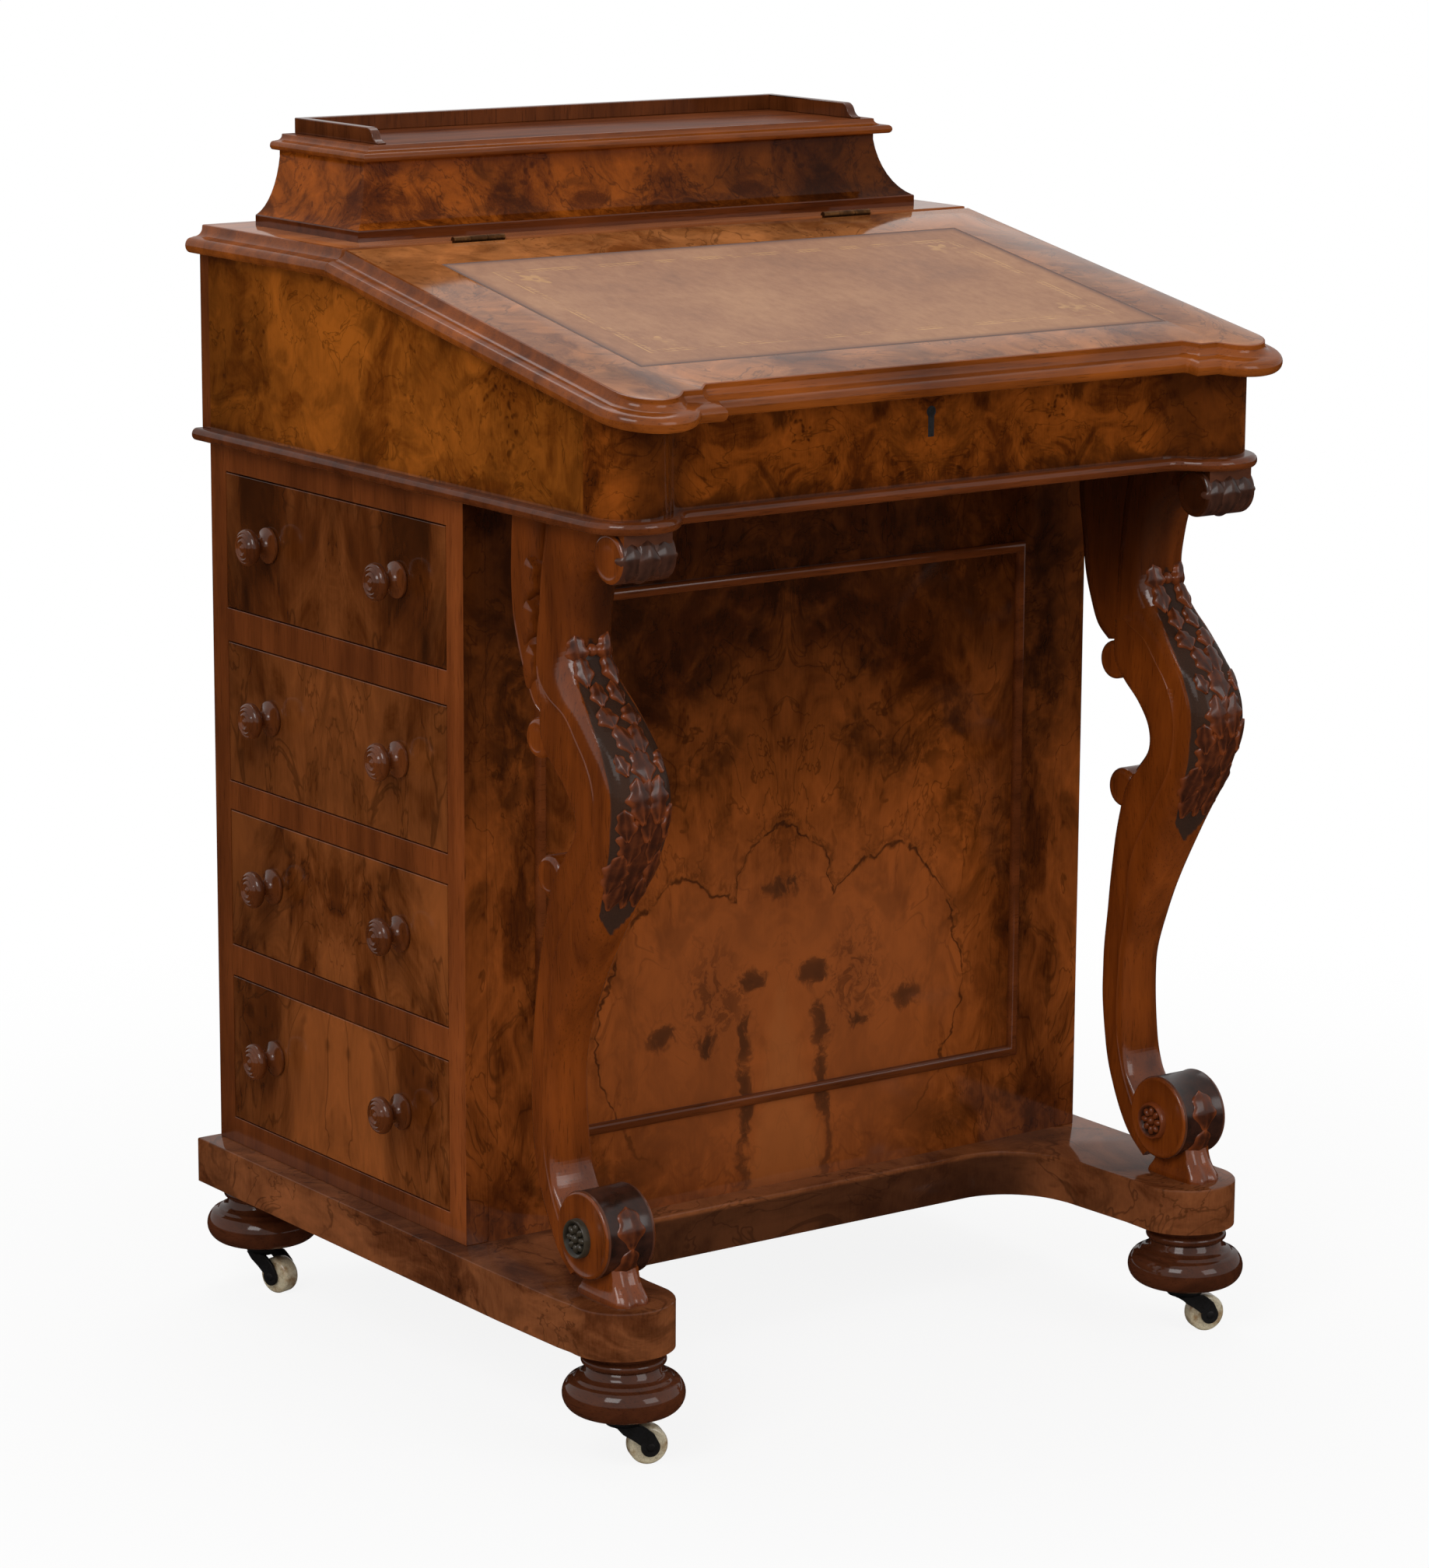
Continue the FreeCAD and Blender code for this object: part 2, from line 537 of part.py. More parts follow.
def support_shape():
    """A scrolled support: its S-shaped side profile, thinned to its waist from the front."""
    foot = value("base_high")
    tall = value("pedestal_high") - foot
    axis = value("front_plane - volute_reach")
    eye = value("volute_lift")
    radius = value("volute_radius")
    step = value("block_height")
    head = value("scroll_radius")

    def at(depth, share):
        """A point of the profile: behind the volute's axis, and its share of the height."""
        return FreeCAD.Vector(0, axis + depth, foot + share * tall)

    def curve(points):
        spline = Part.BSplineCurve()
        spline.interpolate(points)
        return spline.toShape()

    def bow(first, middle, last):
        return Part.Arc(first, middle, last).toShape()

    def ring(angle):
        """A point of the lower volute."""
        turn = math.radians(angle)
        return FreeCAD.Vector(
            0, axis + radius * math.cos(turn), foot + eye + radius * math.sin(turn))

    block_top = foot + step
    block_back = FreeCAD.Vector(0, axis + 27, block_top)
    under = -math.degrees(math.asin((eye - step) / radius))
    heel = ring(180 - under)
    shank = ring(24)
    back = [block_back, at(29, 0.06), at(39, 0.085), at(50, 0.132), at(60, 0.166), at(67, 0.201),
            at(73, 0.249), at(73, 0.288), at(68, 0.373), at(60, 0.446), at(54, 0.51)]
    heart = [at(42, 0.572), at(30, 0.579), at(23, 0.595), at(19, 0.626), at(21, 0.66),
             at(26, 0.684), at(41, 0.703), at(54, 0.693)]
    wing = [at(67, 0.741), at(77, 0.78), at(87, 0.828), at(90, 0.88), at(93, 0.94), at(95, 1)]
    scroll_top = foot + tall
    scroll_eye = FreeCAD.Vector(0, axis - 11, scroll_top - 11)
    lip = scroll_eye + FreeCAD.Vector(0, -math.sqrt(head ** 2 - 11 ** 2), 11)
    chin = scroll_eye + FreeCAD.Vector(0, 28, -math.sqrt(head ** 2 - 28 ** 2))
    front = [chin, at(34, 0.905), at(36, 0.867), at(33, 0.828), at(21, 0.788), at(-1, 0.751),
             at(-20, 0.716), at(-29, 0.684), at(-30.5, 0.645), at(-30, 0.61), at(-23, 0.568),
             at(-8, 0.51), at(6, 0.465), at(21, 0.413), at(37, 0.361), at(46, 0.317),
             at(49.5, 0.27), at(50, 0.211), at(49.5, 0.163), at(44, 0.128), shank]
    top_back = wing[-1]
    toe = FreeCAD.Vector(0, axis - 40, block_top)
    edges = [
        curve(back),
        bow(back[-1], at(62, 0.543), heart[0]),
        curve(heart),
        bow(heart[-1], at(75, 0.711), wing[0]),
        curve(wing),
        Part.LineSegment(top_back, lip).toShape(),
        bow(lip, scroll_eye + FreeCAD.Vector(0, -head * 0.5, -head * 0.866), chin),
        curve(front),
        bow(shank, ring(100), heel),
        Part.LineSegment(heel, toe).toShape(),
        Part.LineSegment(toe, FreeCAD.Vector(0, toe.y, foot)).toShape(),
        Part.LineSegment(
            FreeCAD.Vector(0, toe.y, foot), FreeCAD.Vector(0, block_back.y, foot)).toShape(),
        Part.LineSegment(FreeCAD.Vector(0, block_back.y, foot), block_back).toShape(),
    ]
    wide = value("support_head")
    profile = Part.Face(Part.Wire(edges)).extrude(FreeCAD.Vector(wide + 2, 0, 0))
    profile.translate(FreeCAD.Vector(-(wide + 2) / 2, 0, 0))

    def half(width, share):
        return FreeCAD.Vector(width / 2, 0, foot + share * tall)

    flank = [half(value("support_wide"), 0.143), half(value("support_wide") * 0.78, 0.191),
             half(value("support_shin"), 0.259), half(value("support_shin") + 2, 0.394),
             half(value("support_knee") - 4, 0.548), half(value("support_knee"), 0.645),
             half(value("support_knee"), 0.78), half(value("support_knee") - 2, 0.9),
             half(wide, 1)]
    block_half = value("block_width") / 2
    wide_half = value("support_wide") / 2
    line = [FreeCAD.Vector(block_half, 0, foot), FreeCAD.Vector(block_half, 0, block_top - 1),
            FreeCAD.Vector(wide_half, 0, block_top - 1), flank[0]]

    def flip(point):
        return FreeCAD.Vector(-point.x, 0, point.z)

    outer = Part.Wire(
        [Part.LineSegment(*pair).toShape() for pair in zip(line, line[1:])]
        + [curve(flank), Part.LineSegment(flank[-1], flip(flank[-1])).toShape(),
           curve([flip(point) for point in reversed(flank)])]
        + [Part.LineSegment(flip(second), flip(first)).toShape()
           for first, second in reversed(list(zip(line, line[1:])))]
        + [Part.LineSegment(flip(line[0]), line[0]).toShape()])
    thick = Part.Face(outer).extrude(FreeCAD.Vector(0, 400, 0))
    thick.translate(FreeCAD.Vector(0, axis - 200, 0))
    return profile.common(thick).Solids[0]


def scroll_supports():
    shape = support_shape()
    for side, name in SIDES:
        support = sub_part("scroll_support_" + name, shaped(shape, "support"))
        put(support, "%d*support_centre" % side)


def volute_bosses():
    """Turned buttons in the eyes of the lower volutes, on both faces of each support."""
    section = (
        ("0", "0", 0),
        ("boss_radius", "0", 0),
        ("boss_radius", "boss_proud*0.3", "boss_proud*0.7"),
        ("boss_radius - boss_proud*0.7", "boss_proud", 0),
        ("0", "boss_proud", 0),
    )
    bosses = []
    for side, name in SIDES:
        for face in (-1, 1):
            boss = turned("boss", section)
            bosses.append(put(
                boss, "%d*support_centre + %d*support_wide/2" % (side, face),
                "front_plane - volute_reach", "base_high + volute_lift",
                about((0, 1, 0), 90 * face)))
    return sub_part("volute_bosses", group(bosses))


# ---------------------------------------------------------------- pedestal

def front_panels():
    inner = "pedestal_half - side_thick"
    back_front = "pedestal_back - back_thick"
    sub_part("pedestal_front_panel", board(
        ("0 - (%s)" % inner, "front_plane", "base_high"),
        (inner, "front_plane + front_thick", "pedestal_high")))
    sub_part("pedestal_back_panel", board(
        ("0 - (%s)" % inner, back_front, "base_high"), (inner, "pedestal_back", "pedestal_high")))


def front_panel_moulding():
    """A half-round bead planted on the front panel as a rectangle."""
    def frame(inset):
        half = "pedestal_half - panel_bead_margin + panel_bead/2 - (%s)" % inset
        low = "base_high + panel_bead_low - panel_bead/2 + (%s)" % inset
        high = "pedestal_high - panel_bead_high + panel_bead/2 - (%s)" % inset
        return (("0 - (%s)" % half, low, 0), (half, low, 0),
                (half, high, 0), ("0 - (%s)" % half, high, 0))

    body = new_body("bead")
    padded(body, "XZ_Plane", frame("0"), "2*panel_bead_proud", both_ways=True)
    pocketed(body, "XZ_Plane", frame("panel_bead"), "4*panel_bead_proud")
    proud = value("panel_bead_proud")
    rounded(body, "panel_bead*0.45",
            lambda box: abs(box.YMin + proud) < 0.01 and abs(box.YMax + proud) < 0.01)
    backing = board(
        ("0 - pedestal_half", "0", "base_high"), ("pedestal_half", "front_thick", "pedestal_high"))
    return sub_part("front_panel_moulding", put(cut_from(body, (backing,)), y="front_plane"))


def opening_corners(drawer, near, far, slack="0"):
    low = "opening_" + drawer
    return (
        (near, "opening_front + " + slack, low + " + " + slack),
        (far, "opening_back - " + slack, "%s + drawer_%s_height - %s" % (low, drawer, slack)))


def pedestal_left_side():
    """The left side, with a shallow recess for each dummy drawer front."""
    outer = "0 - pedestal_half"
    panel = board((outer, "front_plane", "base_high"),
                  ("side_thick - pedestal_half", "pedestal_back", "pedestal_high"))
    recesses = [
        board(*opening_corners(drawer, outer + " - 1", outer + " + dummy_depth"))
        for drawer in DRAWERS]
    sub_part("pedestal_left_side", cut_from(panel, recesses))
    fronts = [
        board(*opening_corners(drawer, outer, outer + " + dummy_depth", "front_gap"))
        for drawer in DRAWERS]
    sub_part("dummy_drawer_fronts", group(fronts))


def drawer_opening_frame():
    """The right side: stiles and rails around the four drawers."""
    panel = board(("pedestal_half - side_thick", "front_plane", "base_high"),
                  ("pedestal_half", "pedestal_back", "pedestal_high"))
    openings = [
        board(*opening_corners(drawer, "pedestal_half - 2*side_thick", "pedestal_half + 1"))
        for drawer in DRAWERS]
    return sub_part("drawer_opening_frame", cut_from(panel, openings))


def drawer_runners():
    """Strips on the front and back panels that carry the drawer sides."""
    strips = []
    left = "side_thick - pedestal_half"
    right = "pedestal_half - side_thick"
    for drawer in DRAWERS:
        top = "opening_" + drawer
        low = top + " - runner_height"
        strips.append(board(
            (left, "front_plane + front_thick", low),
            (right, "opening_front + drawer_side_gap + drawer_side_thick + 6", top)))
        strips.append(board(
            (left, "opening_back - drawer_side_gap - drawer_side_thick - 6", low),
            (right, "pedestal_back - back_thick", top)))
    return sub_part("drawer_runners", group(strips))


def knob_section():
    return (
        ("0", "0", 0),
        ("knob_radius*0.9", "0", 0),
        ("knob_radius*0.96", "knob_reach*0.05", 0),
        ("knob_radius*0.96", "knob_reach*0.11", 0),
        ("knob_radius*0.85", "knob_reach*0.18", "0 - knob_reach*0.2"),
        ("knob_neck", "knob_reach*0.31", 0),
        ("knob_neck", "knob_reach*0.42", "0 - knob_reach*0.25"),
        ("knob_radius", "knob_reach*0.66", "knob_reach*0.14"),
        ("knob_radius*0.95", "knob_reach*0.86", 0),
        ("knob_radius*0.7", "knob_reach*0.96", 0),
        ("knob_radius*0.6", "knob_reach", 0),
        ("0", "knob_reach", 0),
    )


def knob_pair(drawer, face, side):
    """Two knobs on the outer face of one drawer; side is -1 on the left and 1 on the right."""
    lift = "opening_%s + drawer_%s_height/2 + knob_lift" % (drawer, drawer)
    return [
        put(turned("knob", knob_section()), face, place, lift, about((0, 1, 0), 90 * side))
        for place in ("opening_front + knob_inset", "opening_back - knob_inset")]


def dummy_drawer_knobs():
    knobs = []
    for drawer in DRAWERS:
        knobs += knob_pair(drawer, "0 - pedestal_half", -1)
    return sub_part("dummy_drawer_knobs", group(knobs))


def drawer_pieces(drawer, proud):
    """One drawer: its front, its box of two sides, back and bottom, and its knobs."""
    face = "pedestal_half + " + proud
    inside = face + " - drawer_front_thick"
    rear = "side_thick + drawer_back_room - pedestal_half + " + proud
    front_low, front_high = opening_corners(drawer, inside, face, "front_gap")
    sub_part("drawer_%s_front" % drawer, board(front_low, front_high))
    low = "opening_%s + gap" % drawer
    high = "opening_%s + drawer_%s_height - drawer_side_drop" % (drawer, drawer)
    near = "opening_front + drawer_side_gap"
    far = "opening_back - drawer_side_gap"
    bottom = low + " + 4"
    pieces = (
        board((rear, near, low), (inside, near + " + drawer_side_thick", high)),
        board((rear, far + " - drawer_side_thick", low), (inside, far, high)),
        board((rear, near + " + drawer_side_thick", low),
              (rear + " + drawer_side_thick", far + " - drawer_side_thick", high)),
        board((rear + " + drawer_side_thick", near + " + drawer_side_thick", bottom),
              (inside, far + " - drawer_side_thick", bottom + " + drawer_bottom_thick")),
    )
    sub_part("drawer_%s_box" % drawer, group(pieces))
    sub_part("drawer_%s_knobs" % drawer, group(knob_pair(drawer, face, 1)))


# ---------------------------------------------------------------- writing box

def box_plan(grow, back):
    """The writing box seen from above: straight sides and back, lobed front corners."""
    total = "(lobe_radius + cove_radius)"
    tip = "(lobe_radius + (%s))/%s" % (grow, total)
    return mirrored((
        ("box_half + (%s)" % grow, back, 0),
        ("box_half + (%s)" % grow, "front_plane - lobe_reach", "0 - lobe_radius - (%s)" % grow),
        ("lobe_centre - cove_run*%s" % tip,
         "front_plane - lobe_reach - (cove_radius + recess_reach - lobe_reach)*%s" % tip,
         "cove_radius - (%s)" % grow),
        ("lobe_centre - cove_run", "front_plane - recess_reach - (%s)" % grow, 0),
    ))


def slope_height(depth, below="0"):
    """Height of the lid's upper plane at a depth, less a drop square to that plane."""
    return "top_high - slope_fall*(hinge_line - (%s)) - (%s)*sqrt(1 + slope_fall^2)" % (
        depth, below)


def side_line(front, back):
    """The writing box's side view: level at the back, sloping down under the lid."""
    under = "top_thick + gap/2"
    return (
        (front, "box_low", 0),
        (back, "box_low", 0),
        (back, "box_high", 0),
        ("hinge_line", "box_high", 0),
        ("hinge_line", slope_height("hinge_line", under), 0),
        (front, slope_height(front, under), 0),
    )


def writing_box_sides():
    inner = "box_half - box_side_thick"
    for side, name in SIDES:
        body = padded(new_body("side"), "YZ_Plane",
                      side_line("cavity_front", "box_back - box_side_thick"), "box_side_thick")
        start = inner if side > 0 else "0 - box_half"
        sub_part("writing_box_%s_side" % name, put(body, start))
    sub_part("writing_box_back", board(
        ("0 - box_half", "box_back - box_side_thick", "box_low"), ("box_half", "box_back", "box_high")))


def writing_box_front():
    """The lobed front, cut to the slope along its top, with the lid's keyhole."""
    body = padded(new_body("front"), "XY_Plane", box_plan("0", "cavity_front"), "box_height")
    far = "front_plane - recess_reach - lobe_radius*3"
    under = "top_thick + gap/2"
    pocketed(body, "YZ_Plane", (
        (far, slope_height(far, under) + " - box_low", 0),
        ("cavity_front + 1", slope_height("cavity_front + 1", under) + " - box_low", 0),
        ("cavity_front + 1", "box_height + 1", 0),
        (far, "box_height + 1", 0),
    ), "6*box_half")
    put(body, z="box_low")
    face = "front_plane - recess_reach"
    return sub_part("writing_box_front", cut_from(body, keyhole(face, "box_low + keyhole_rise")))


def keyhole(face, top):
    """Cutters for a keyhole: a round eye over a slot, to a shallow depth."""
    eye = rod("keyhole_radius", "keyhole_depth + 1", y=face + " + keyhole_depth",
              z=top, turn=about((1, 0, 0), 90))
    slot = board(
        ("0 - keyhole_radius*0.6", face + " - 1", top + " - keyhole_drop"),
        ("keyhole_radius*0.6", face + " + keyhole_depth", top))
    return eye, slot


def writing_box_bottom():
    inner = "box_half - box_side_thick"
    rear = "box_back - box_side_thick"
    sub_part("writing_box_bottom", board(
        ("0 - (%s)" % inner, "cavity_front", "pedestal_high"), (inner, rear, "box_low")))
    ring = padded(new_body("bead"), "XY_Plane", box_plan("bead_proud", "box_back"), "bead_thick")
    back = value("box_back")
    rounded(ring, "bead_thick*0.49", lambda box: box.ZLength < 0.01 and box.YMin < back - 1)
    pocketed(ring, "XY_Plane", (
        ("0 - (%s)" % inner, "cavity_front", 0), (inner, "cavity_front", 0),
        (inner, rear, 0), ("0 - (%s)" % inner, rear, 0)), "4*bead_thick")
    return sub_part("writing_box_bead", put(ring, z="pedestal_high"))


def slope_lock():
    """Lock case behind the writing box's front, with the bolt's guide open at its top."""
    face = "cavity_front"
    top = slope_height(face, "top_thick + gap/2")
    lock_pieces("slope", face, top + " - 1.5")


def lock_pieces(name, face, top):
    low = top + " - lock_drop"
    case = board(("0 - lock_width/2", face, low), ("lock_width/2", face + " + lock_thick", top))
    middle = face + " + lock_thick/2"
    guide = board(
        ("0 - bolt_width/2 - gap", middle + " - bolt_thick/2 - gap", top + " - bolt_length - gap"),
        ("bolt_width/2 + gap", middle + " + bolt_thick/2 + gap", top + " + 1"))
    sub_part(name + "_lock_case", cut_from(case, (guide,)))
    sub_part(name + "_lock_bolt", board(
        ("0 - bolt_width/2", middle + " - bolt_thick/2", top + " - bolt_length"),
        ("bolt_width/2", middle + " + bolt_thick/2", top)))


# ---------------------------------------------------------------- tops and lids

def edge_levels(thick, width):
    """A moulded edge from the underside up: (height, distance in from the nose)."""
    nose = thick * NOSE_SHARE
    levels = []
    for step in range(5):
        turn = math.pi * step / 4
        levels.append((nose - nose * math.cos(turn), nose * (1 - math.sin(turn)) * 0.9))
    shelf = width * 0.47
    levels.append((nose * 2 + thick * 0.03, shelf))
    for step in range(1, 5):
        turn = math.pi / 2 * step / 4
        levels.append((nose * 2 + thick * (0.03 + 0.3 * (1 - math.cos(turn))),
                       shelf + (width * 0.9 - shelf) * math.sin(turn)))
    levels.append((thick, width))
    return levels


def level_top():
    """The fixed top at the back, its edge moulded on both sides."""
    thick = value("top_thick")
    path = []
    for height, inset in edge_levels(thick, value("ogee")):
        path.append(("top_half - ogee*%.5f" % (inset / value("ogee")),
                     "top_thick*%.5f" % (height / thick), 0))
    body = padded(new_body("top"), "XZ_Plane", mirrored(path), "box_back - hinge_line - gap/2")
    put(body, y="box_back", z="box_high")
    recess = [
        board(("%s - hinge_length/2" % place, "hinge_line", "top_high - leaf_drop - gap"),
              ("%s + hinge_length/2" % place, "hinge_line + gap/2 + leaf_thick", "top_high + 1"))
        for place in hinge_places()]
    recess += hinge_clearance("hinge_line", "top_high + hinge_proud")
    return sub_part("level_top", cut_from(body, recess))


def hinge_places():
    return ["%d*hinge_spread/2" % side for side, name in SIDES]


def lid_outline(inset, height, rear):
    """The sloping lid's plan at one level of its moulding, in the lid's own plane."""
    drop = value("slope_fall") * value("top_thick") * (1 - NOSE_SHARE)

    def down(reach):
        return -value("hinge_line - front_plane + " + reach) * slope_stretch() - drop

    half = value("top_half") - inset
    radius = value("lid_lobe_radius") - inset
    centre = FreeCAD.Vector(value("top_half - lid_lobe_radius"), down("lid_lobe_reach"), height)
    neck = down("lid_recess_reach + lid_step") + inset
    recess = down("lid_recess_reach") + inset
    step = value("top_half - lid_corner_width") + inset
    meet = centre.x - math.sqrt(radius ** 2 - (neck - centre.y) ** 2)
    turn = math.atan2(neck - centre.y, meet - centre.x) / 2
    points = [
        FreeCAD.Vector(half, rear, height),
        FreeCAD.Vector(half, centre.y, height),
        FreeCAD.Vector(meet, neck, height),
        FreeCAD.Vector(step, neck, height),
        FreeCAD.Vector(step, recess, height),
    ]
    middle = centre + FreeCAD.Vector(math.cos(turn), math.sin(turn), 0) * radius
    right = [
        Part.LineSegment(points[0], points[1]).toShape(),
        Part.Arc(points[1], middle, points[2]).toShape(),
        Part.LineSegment(points[2], points[3]).toShape(),
        Part.LineSegment(points[3], points[4]).toShape(),
    ]
    left = [edge.mirror(FreeCAD.Vector(), FreeCAD.Vector(1, 0, 0)) for edge in reversed(right)]
    across = Part.LineSegment(
        points[-1], FreeCAD.Vector(-points[-1].x, points[-1].y, height)).toShape()
    closing = Part.LineSegment(FreeCAD.Vector(-half, rear, height), points[0]).toShape()
    return Part.Wire(Part.__sortEdges__(right + [across] + left + [closing]))


def ruled_stack(wires):
    """A solid through a stack of like outlines, with flat or conical bands between them."""
    return Part.makeLoft(wires, True, True)


def corner_box(low, high):
    size = [end - start for start, end in zip(low, high)]
    return Part.makeBox(*size, FreeCAD.Vector(*low))


def slope_lid():
    """The writing slope with its moulded edge, a recess for the leather and the strike plate."""
    thick = value("top_thick")
    overlap = 10
    wires = [lid_outline(inset, height - thick, overlap)
             for height, inset in edge_levels(thick, value("ogee"))]
    shape = ruled_stack(wires)
    leather_low, leather_high = skiver_corners()
    shape = shape.cut(corner_box(leather_low, leather_high[:2] + [1]))
    tilt = slope_tilt()
    shape.Placement = tilt
    line = value("hinge_line")
    wide = 2 * value("top_half")
    behind = corner_box((-wide, line - value("gap") / 2, 0), (wide, line + 100, 2000))
    tools = [behind]
    for place in hinge_places():
        middle = value(place)
        half = value("hinge_length/2")
        tools.append(corner_box(
            (middle - half, line - value("gap/2 + leaf_thick"), value("top_high - leaf_drop - gap")),
            (middle + half, line + 1, value("top_high + 1"))))
        tools.append(Part.makeCylinder(
            value("knuckle_radius + gap"), 2 * half + 2 * value("gap"),
            FreeCAD.Vector(middle - half - value("gap"), line, value("top_high + hinge_proud")),
            FreeCAD.Vector(1, 0, 0)))
    for tool in tools + [strike_shape(0), bolt_pocket()]:
        shape = shape.cut(tool)
    return sub_part("slope_lid", shaped(shape.Solids[0], "lid"))


def slope_stretch():
    """Length along the slope for each millimetre of depth."""
    return math.sqrt(1 + value("slope_fall") ** 2)


def slope_tilt():
    """From the lid's own plane, its top at zero and its hinge edge at the origin, to the desk."""
    angle = math.degrees(math.atan(value("slope_fall")))
    return FreeCAD.Placement(
        FreeCAD.Vector(0, value("hinge_line"), value("top_high")), about((1, 0, 0), angle))


def skiver_corners():
    half = value("top_half - skiver_side_margin")
    front = -value("hinge_line - front_plane + lid_recess_reach - skiver_front_margin") * slope_stretch()
    back = -value("skiver_back_margin") * slope_stretch()
    return [-half, front, -value("skiver_thick")], [half, back, 0.0]


def writing_skiver():
    leather = shaped(corner_box(*skiver_corners()), "leather")
    leather.Placement = slope_tilt()
    return sub_part("writing_skiver", leather)


def bolt_middle():
    return value("cavity_front + lock_thick/2")


def bolt_pocket():
    """Room in the lid over the slope lock for the raised bolt."""
    slack = 2.0
    half = value("bolt_width") / 2 + slack
    deep = value("bolt_thick") / 2 + slack
    under = value(slope_height("cavity_front + lock_thick/2", "top_thick"))
    middle = bolt_middle()
    return corner_box((-half, middle - deep, under - 5),
                      (half, middle + deep, under + value("bolt_throw") + slack))


def strike_shape(shrink):
    """The strike plate's block in the lid's underside, square to the slope."""
    middle = (bolt_middle() - value("hinge_line")) * slope_stretch()
    middle += value("slope_fall") * value("top_thick")
    half = value("strike_width") / 2 - shrink
    deep = value("strike_depth") / 2 - shrink
    low = -value("top_thick") - (0 if shrink else 1)
    block = corner_box((-half, middle - deep, low),
                       (half, middle + deep, -value("top_thick") + value("strike_thick") - shrink))
    block.Placement = slope_tilt()
    return block


def slope_lock_strike():
    plate = strike_shape(0.05).cut(bolt_pocket())
    return sub_part("slope_lock_strike", shaped(plate.Solids[0], "strike"))


def hinge_clearance(line, height):
    """Round cutters that make room in the wood for the knuckles of a lid's two hinges."""
    return [rod("knuckle_radius + gap", "hinge_length + 2*gap",
                place + " - hinge_length/2 - gap", line, height, about((0, 1, 0), 90))
            for place in hinge_places()]


def hinge_pair(fixed_name, lid_name, line, height, fixed_leaf, lid_leaf):
    """Two butt hinges on a line along X: fixed leaves with their pins, and the lid's leaves.

    The fixed leaf carries the two end knuckles, the lid's leaf the middle one. Each leaf is
    given as its lowest and highest (depth, height).
    """
    fixed, moving = [], []
    along = about((0, 1, 0), 90)
    third = "hinge_length/3"
    for place in hinge_places():
        start = place + " - hinge_length/2"

        def knuckle(radius, length, after):
            return rod(radius, length, "%s + %s" % (start, after), line, height, along)

        def leaf(corners):
            (near, low), (far, high) = corners
            return board((start, near, low), (start + " + hinge_length", far, high))

        ends = [knuckle("knuckle_radius", third, "0"), knuckle("knuckle_radius", third, "2*" + third)]
        notch = knuckle("knuckle_radius + gap", third, third)
        bore = knuckle("pin_radius", "hinge_length", "0")
        fixed.append(cut_from(joined([leaf(fixed_leaf)] + ends), (notch, bore)))
        fixed.append(knuckle("pin_radius", "hinge_length", "0"))
        middle = knuckle("knuckle_radius", third + " - 2*gap", third + " + gap")
        clears = [knuckle("knuckle_radius + gap", third + " + gap", "0"),
                  knuckle("knuckle_radius + gap", third + " + gap", "2*" + third + " - gap")]
        hole = knuckle("pin_radius + running_clearance", "hinge_length", "0")
        moving.append(cut_from(joined([leaf(lid_leaf), middle]), clears + [hole]))
    sub_part(fixed_name, group(fixed))
    sub_part(lid_name, group(moving))


def slope_hinges():
    height = "top_high + hinge_proud"
    low = "top_high - leaf_drop"
    hinge_pair(
        "slope_hinge_leaves", "slope_lid_hinge_leaves", "hinge_line", height,
        (("hinge_line + gap/2", low), ("hinge_line + gap/2 + leaf_thick", height)),
        (("hinge_line - gap/2 - leaf_thick", low), ("hinge_line - gap/2", height)))


def stationery_hinges():
    line = "stationery_rear + hinge_proud"
    near = "stationery_rear - leaf_thick"
    hinge_pair(
        "stationery_hinge_leaves", "stationery_lid_hinge_leaves", line, "small_lid_low",
        ((near, "small_lid_low - leaf_drop"), ("stationery_rear", "small_lid_low - gap/2")),
        ((near, "small_lid_low + gap/2"), ("stationery_rear", "small_lid_high - 1")))


# ---------------------------------------------------------------- stationery box

def stationery_outline(half, front, height):
    """A level rectangle from the stationery box's back to the front edge."""
    rear = value("stationery_rear")
    points = [(half, rear), (half, front), (-half, front), (-half, rear), (half, rear)]
    return Part.makePolygon([FreeCAD.Vector(x, y, height) for x, y in points])


def cavetto_shell():
    """Outside of the hollow walls: steep at the foot's end of the curve, upright at the neck."""
    low = value("top_high + plinth_height")
    high = value("small_lid_low")
    curve = high - low - NECK_HEIGHT
    levels = []
    for step in range(HOLLOW_STEPS + 1):
        part = step / HOLLOW_STEPS
        turn = math.pi / 2 * part
        sweep = HOLLOW_ROUND * math.sin(turn) + (1 - HOLLOW_ROUND) * part
        rise = HOLLOW_ROUND * (1 - math.cos(turn)) + (1 - HOLLOW_ROUND) * part
        levels.append((sweep, low + curve * rise))
    levels.append((1, high))
    return ruled_stack([
        stationery_outline(value("stationery_half - cavetto_side*%.6f" % sweep),
                           value("stationery_front + cavetto_front*%.6f" % sweep), height)
        for sweep, height in levels])


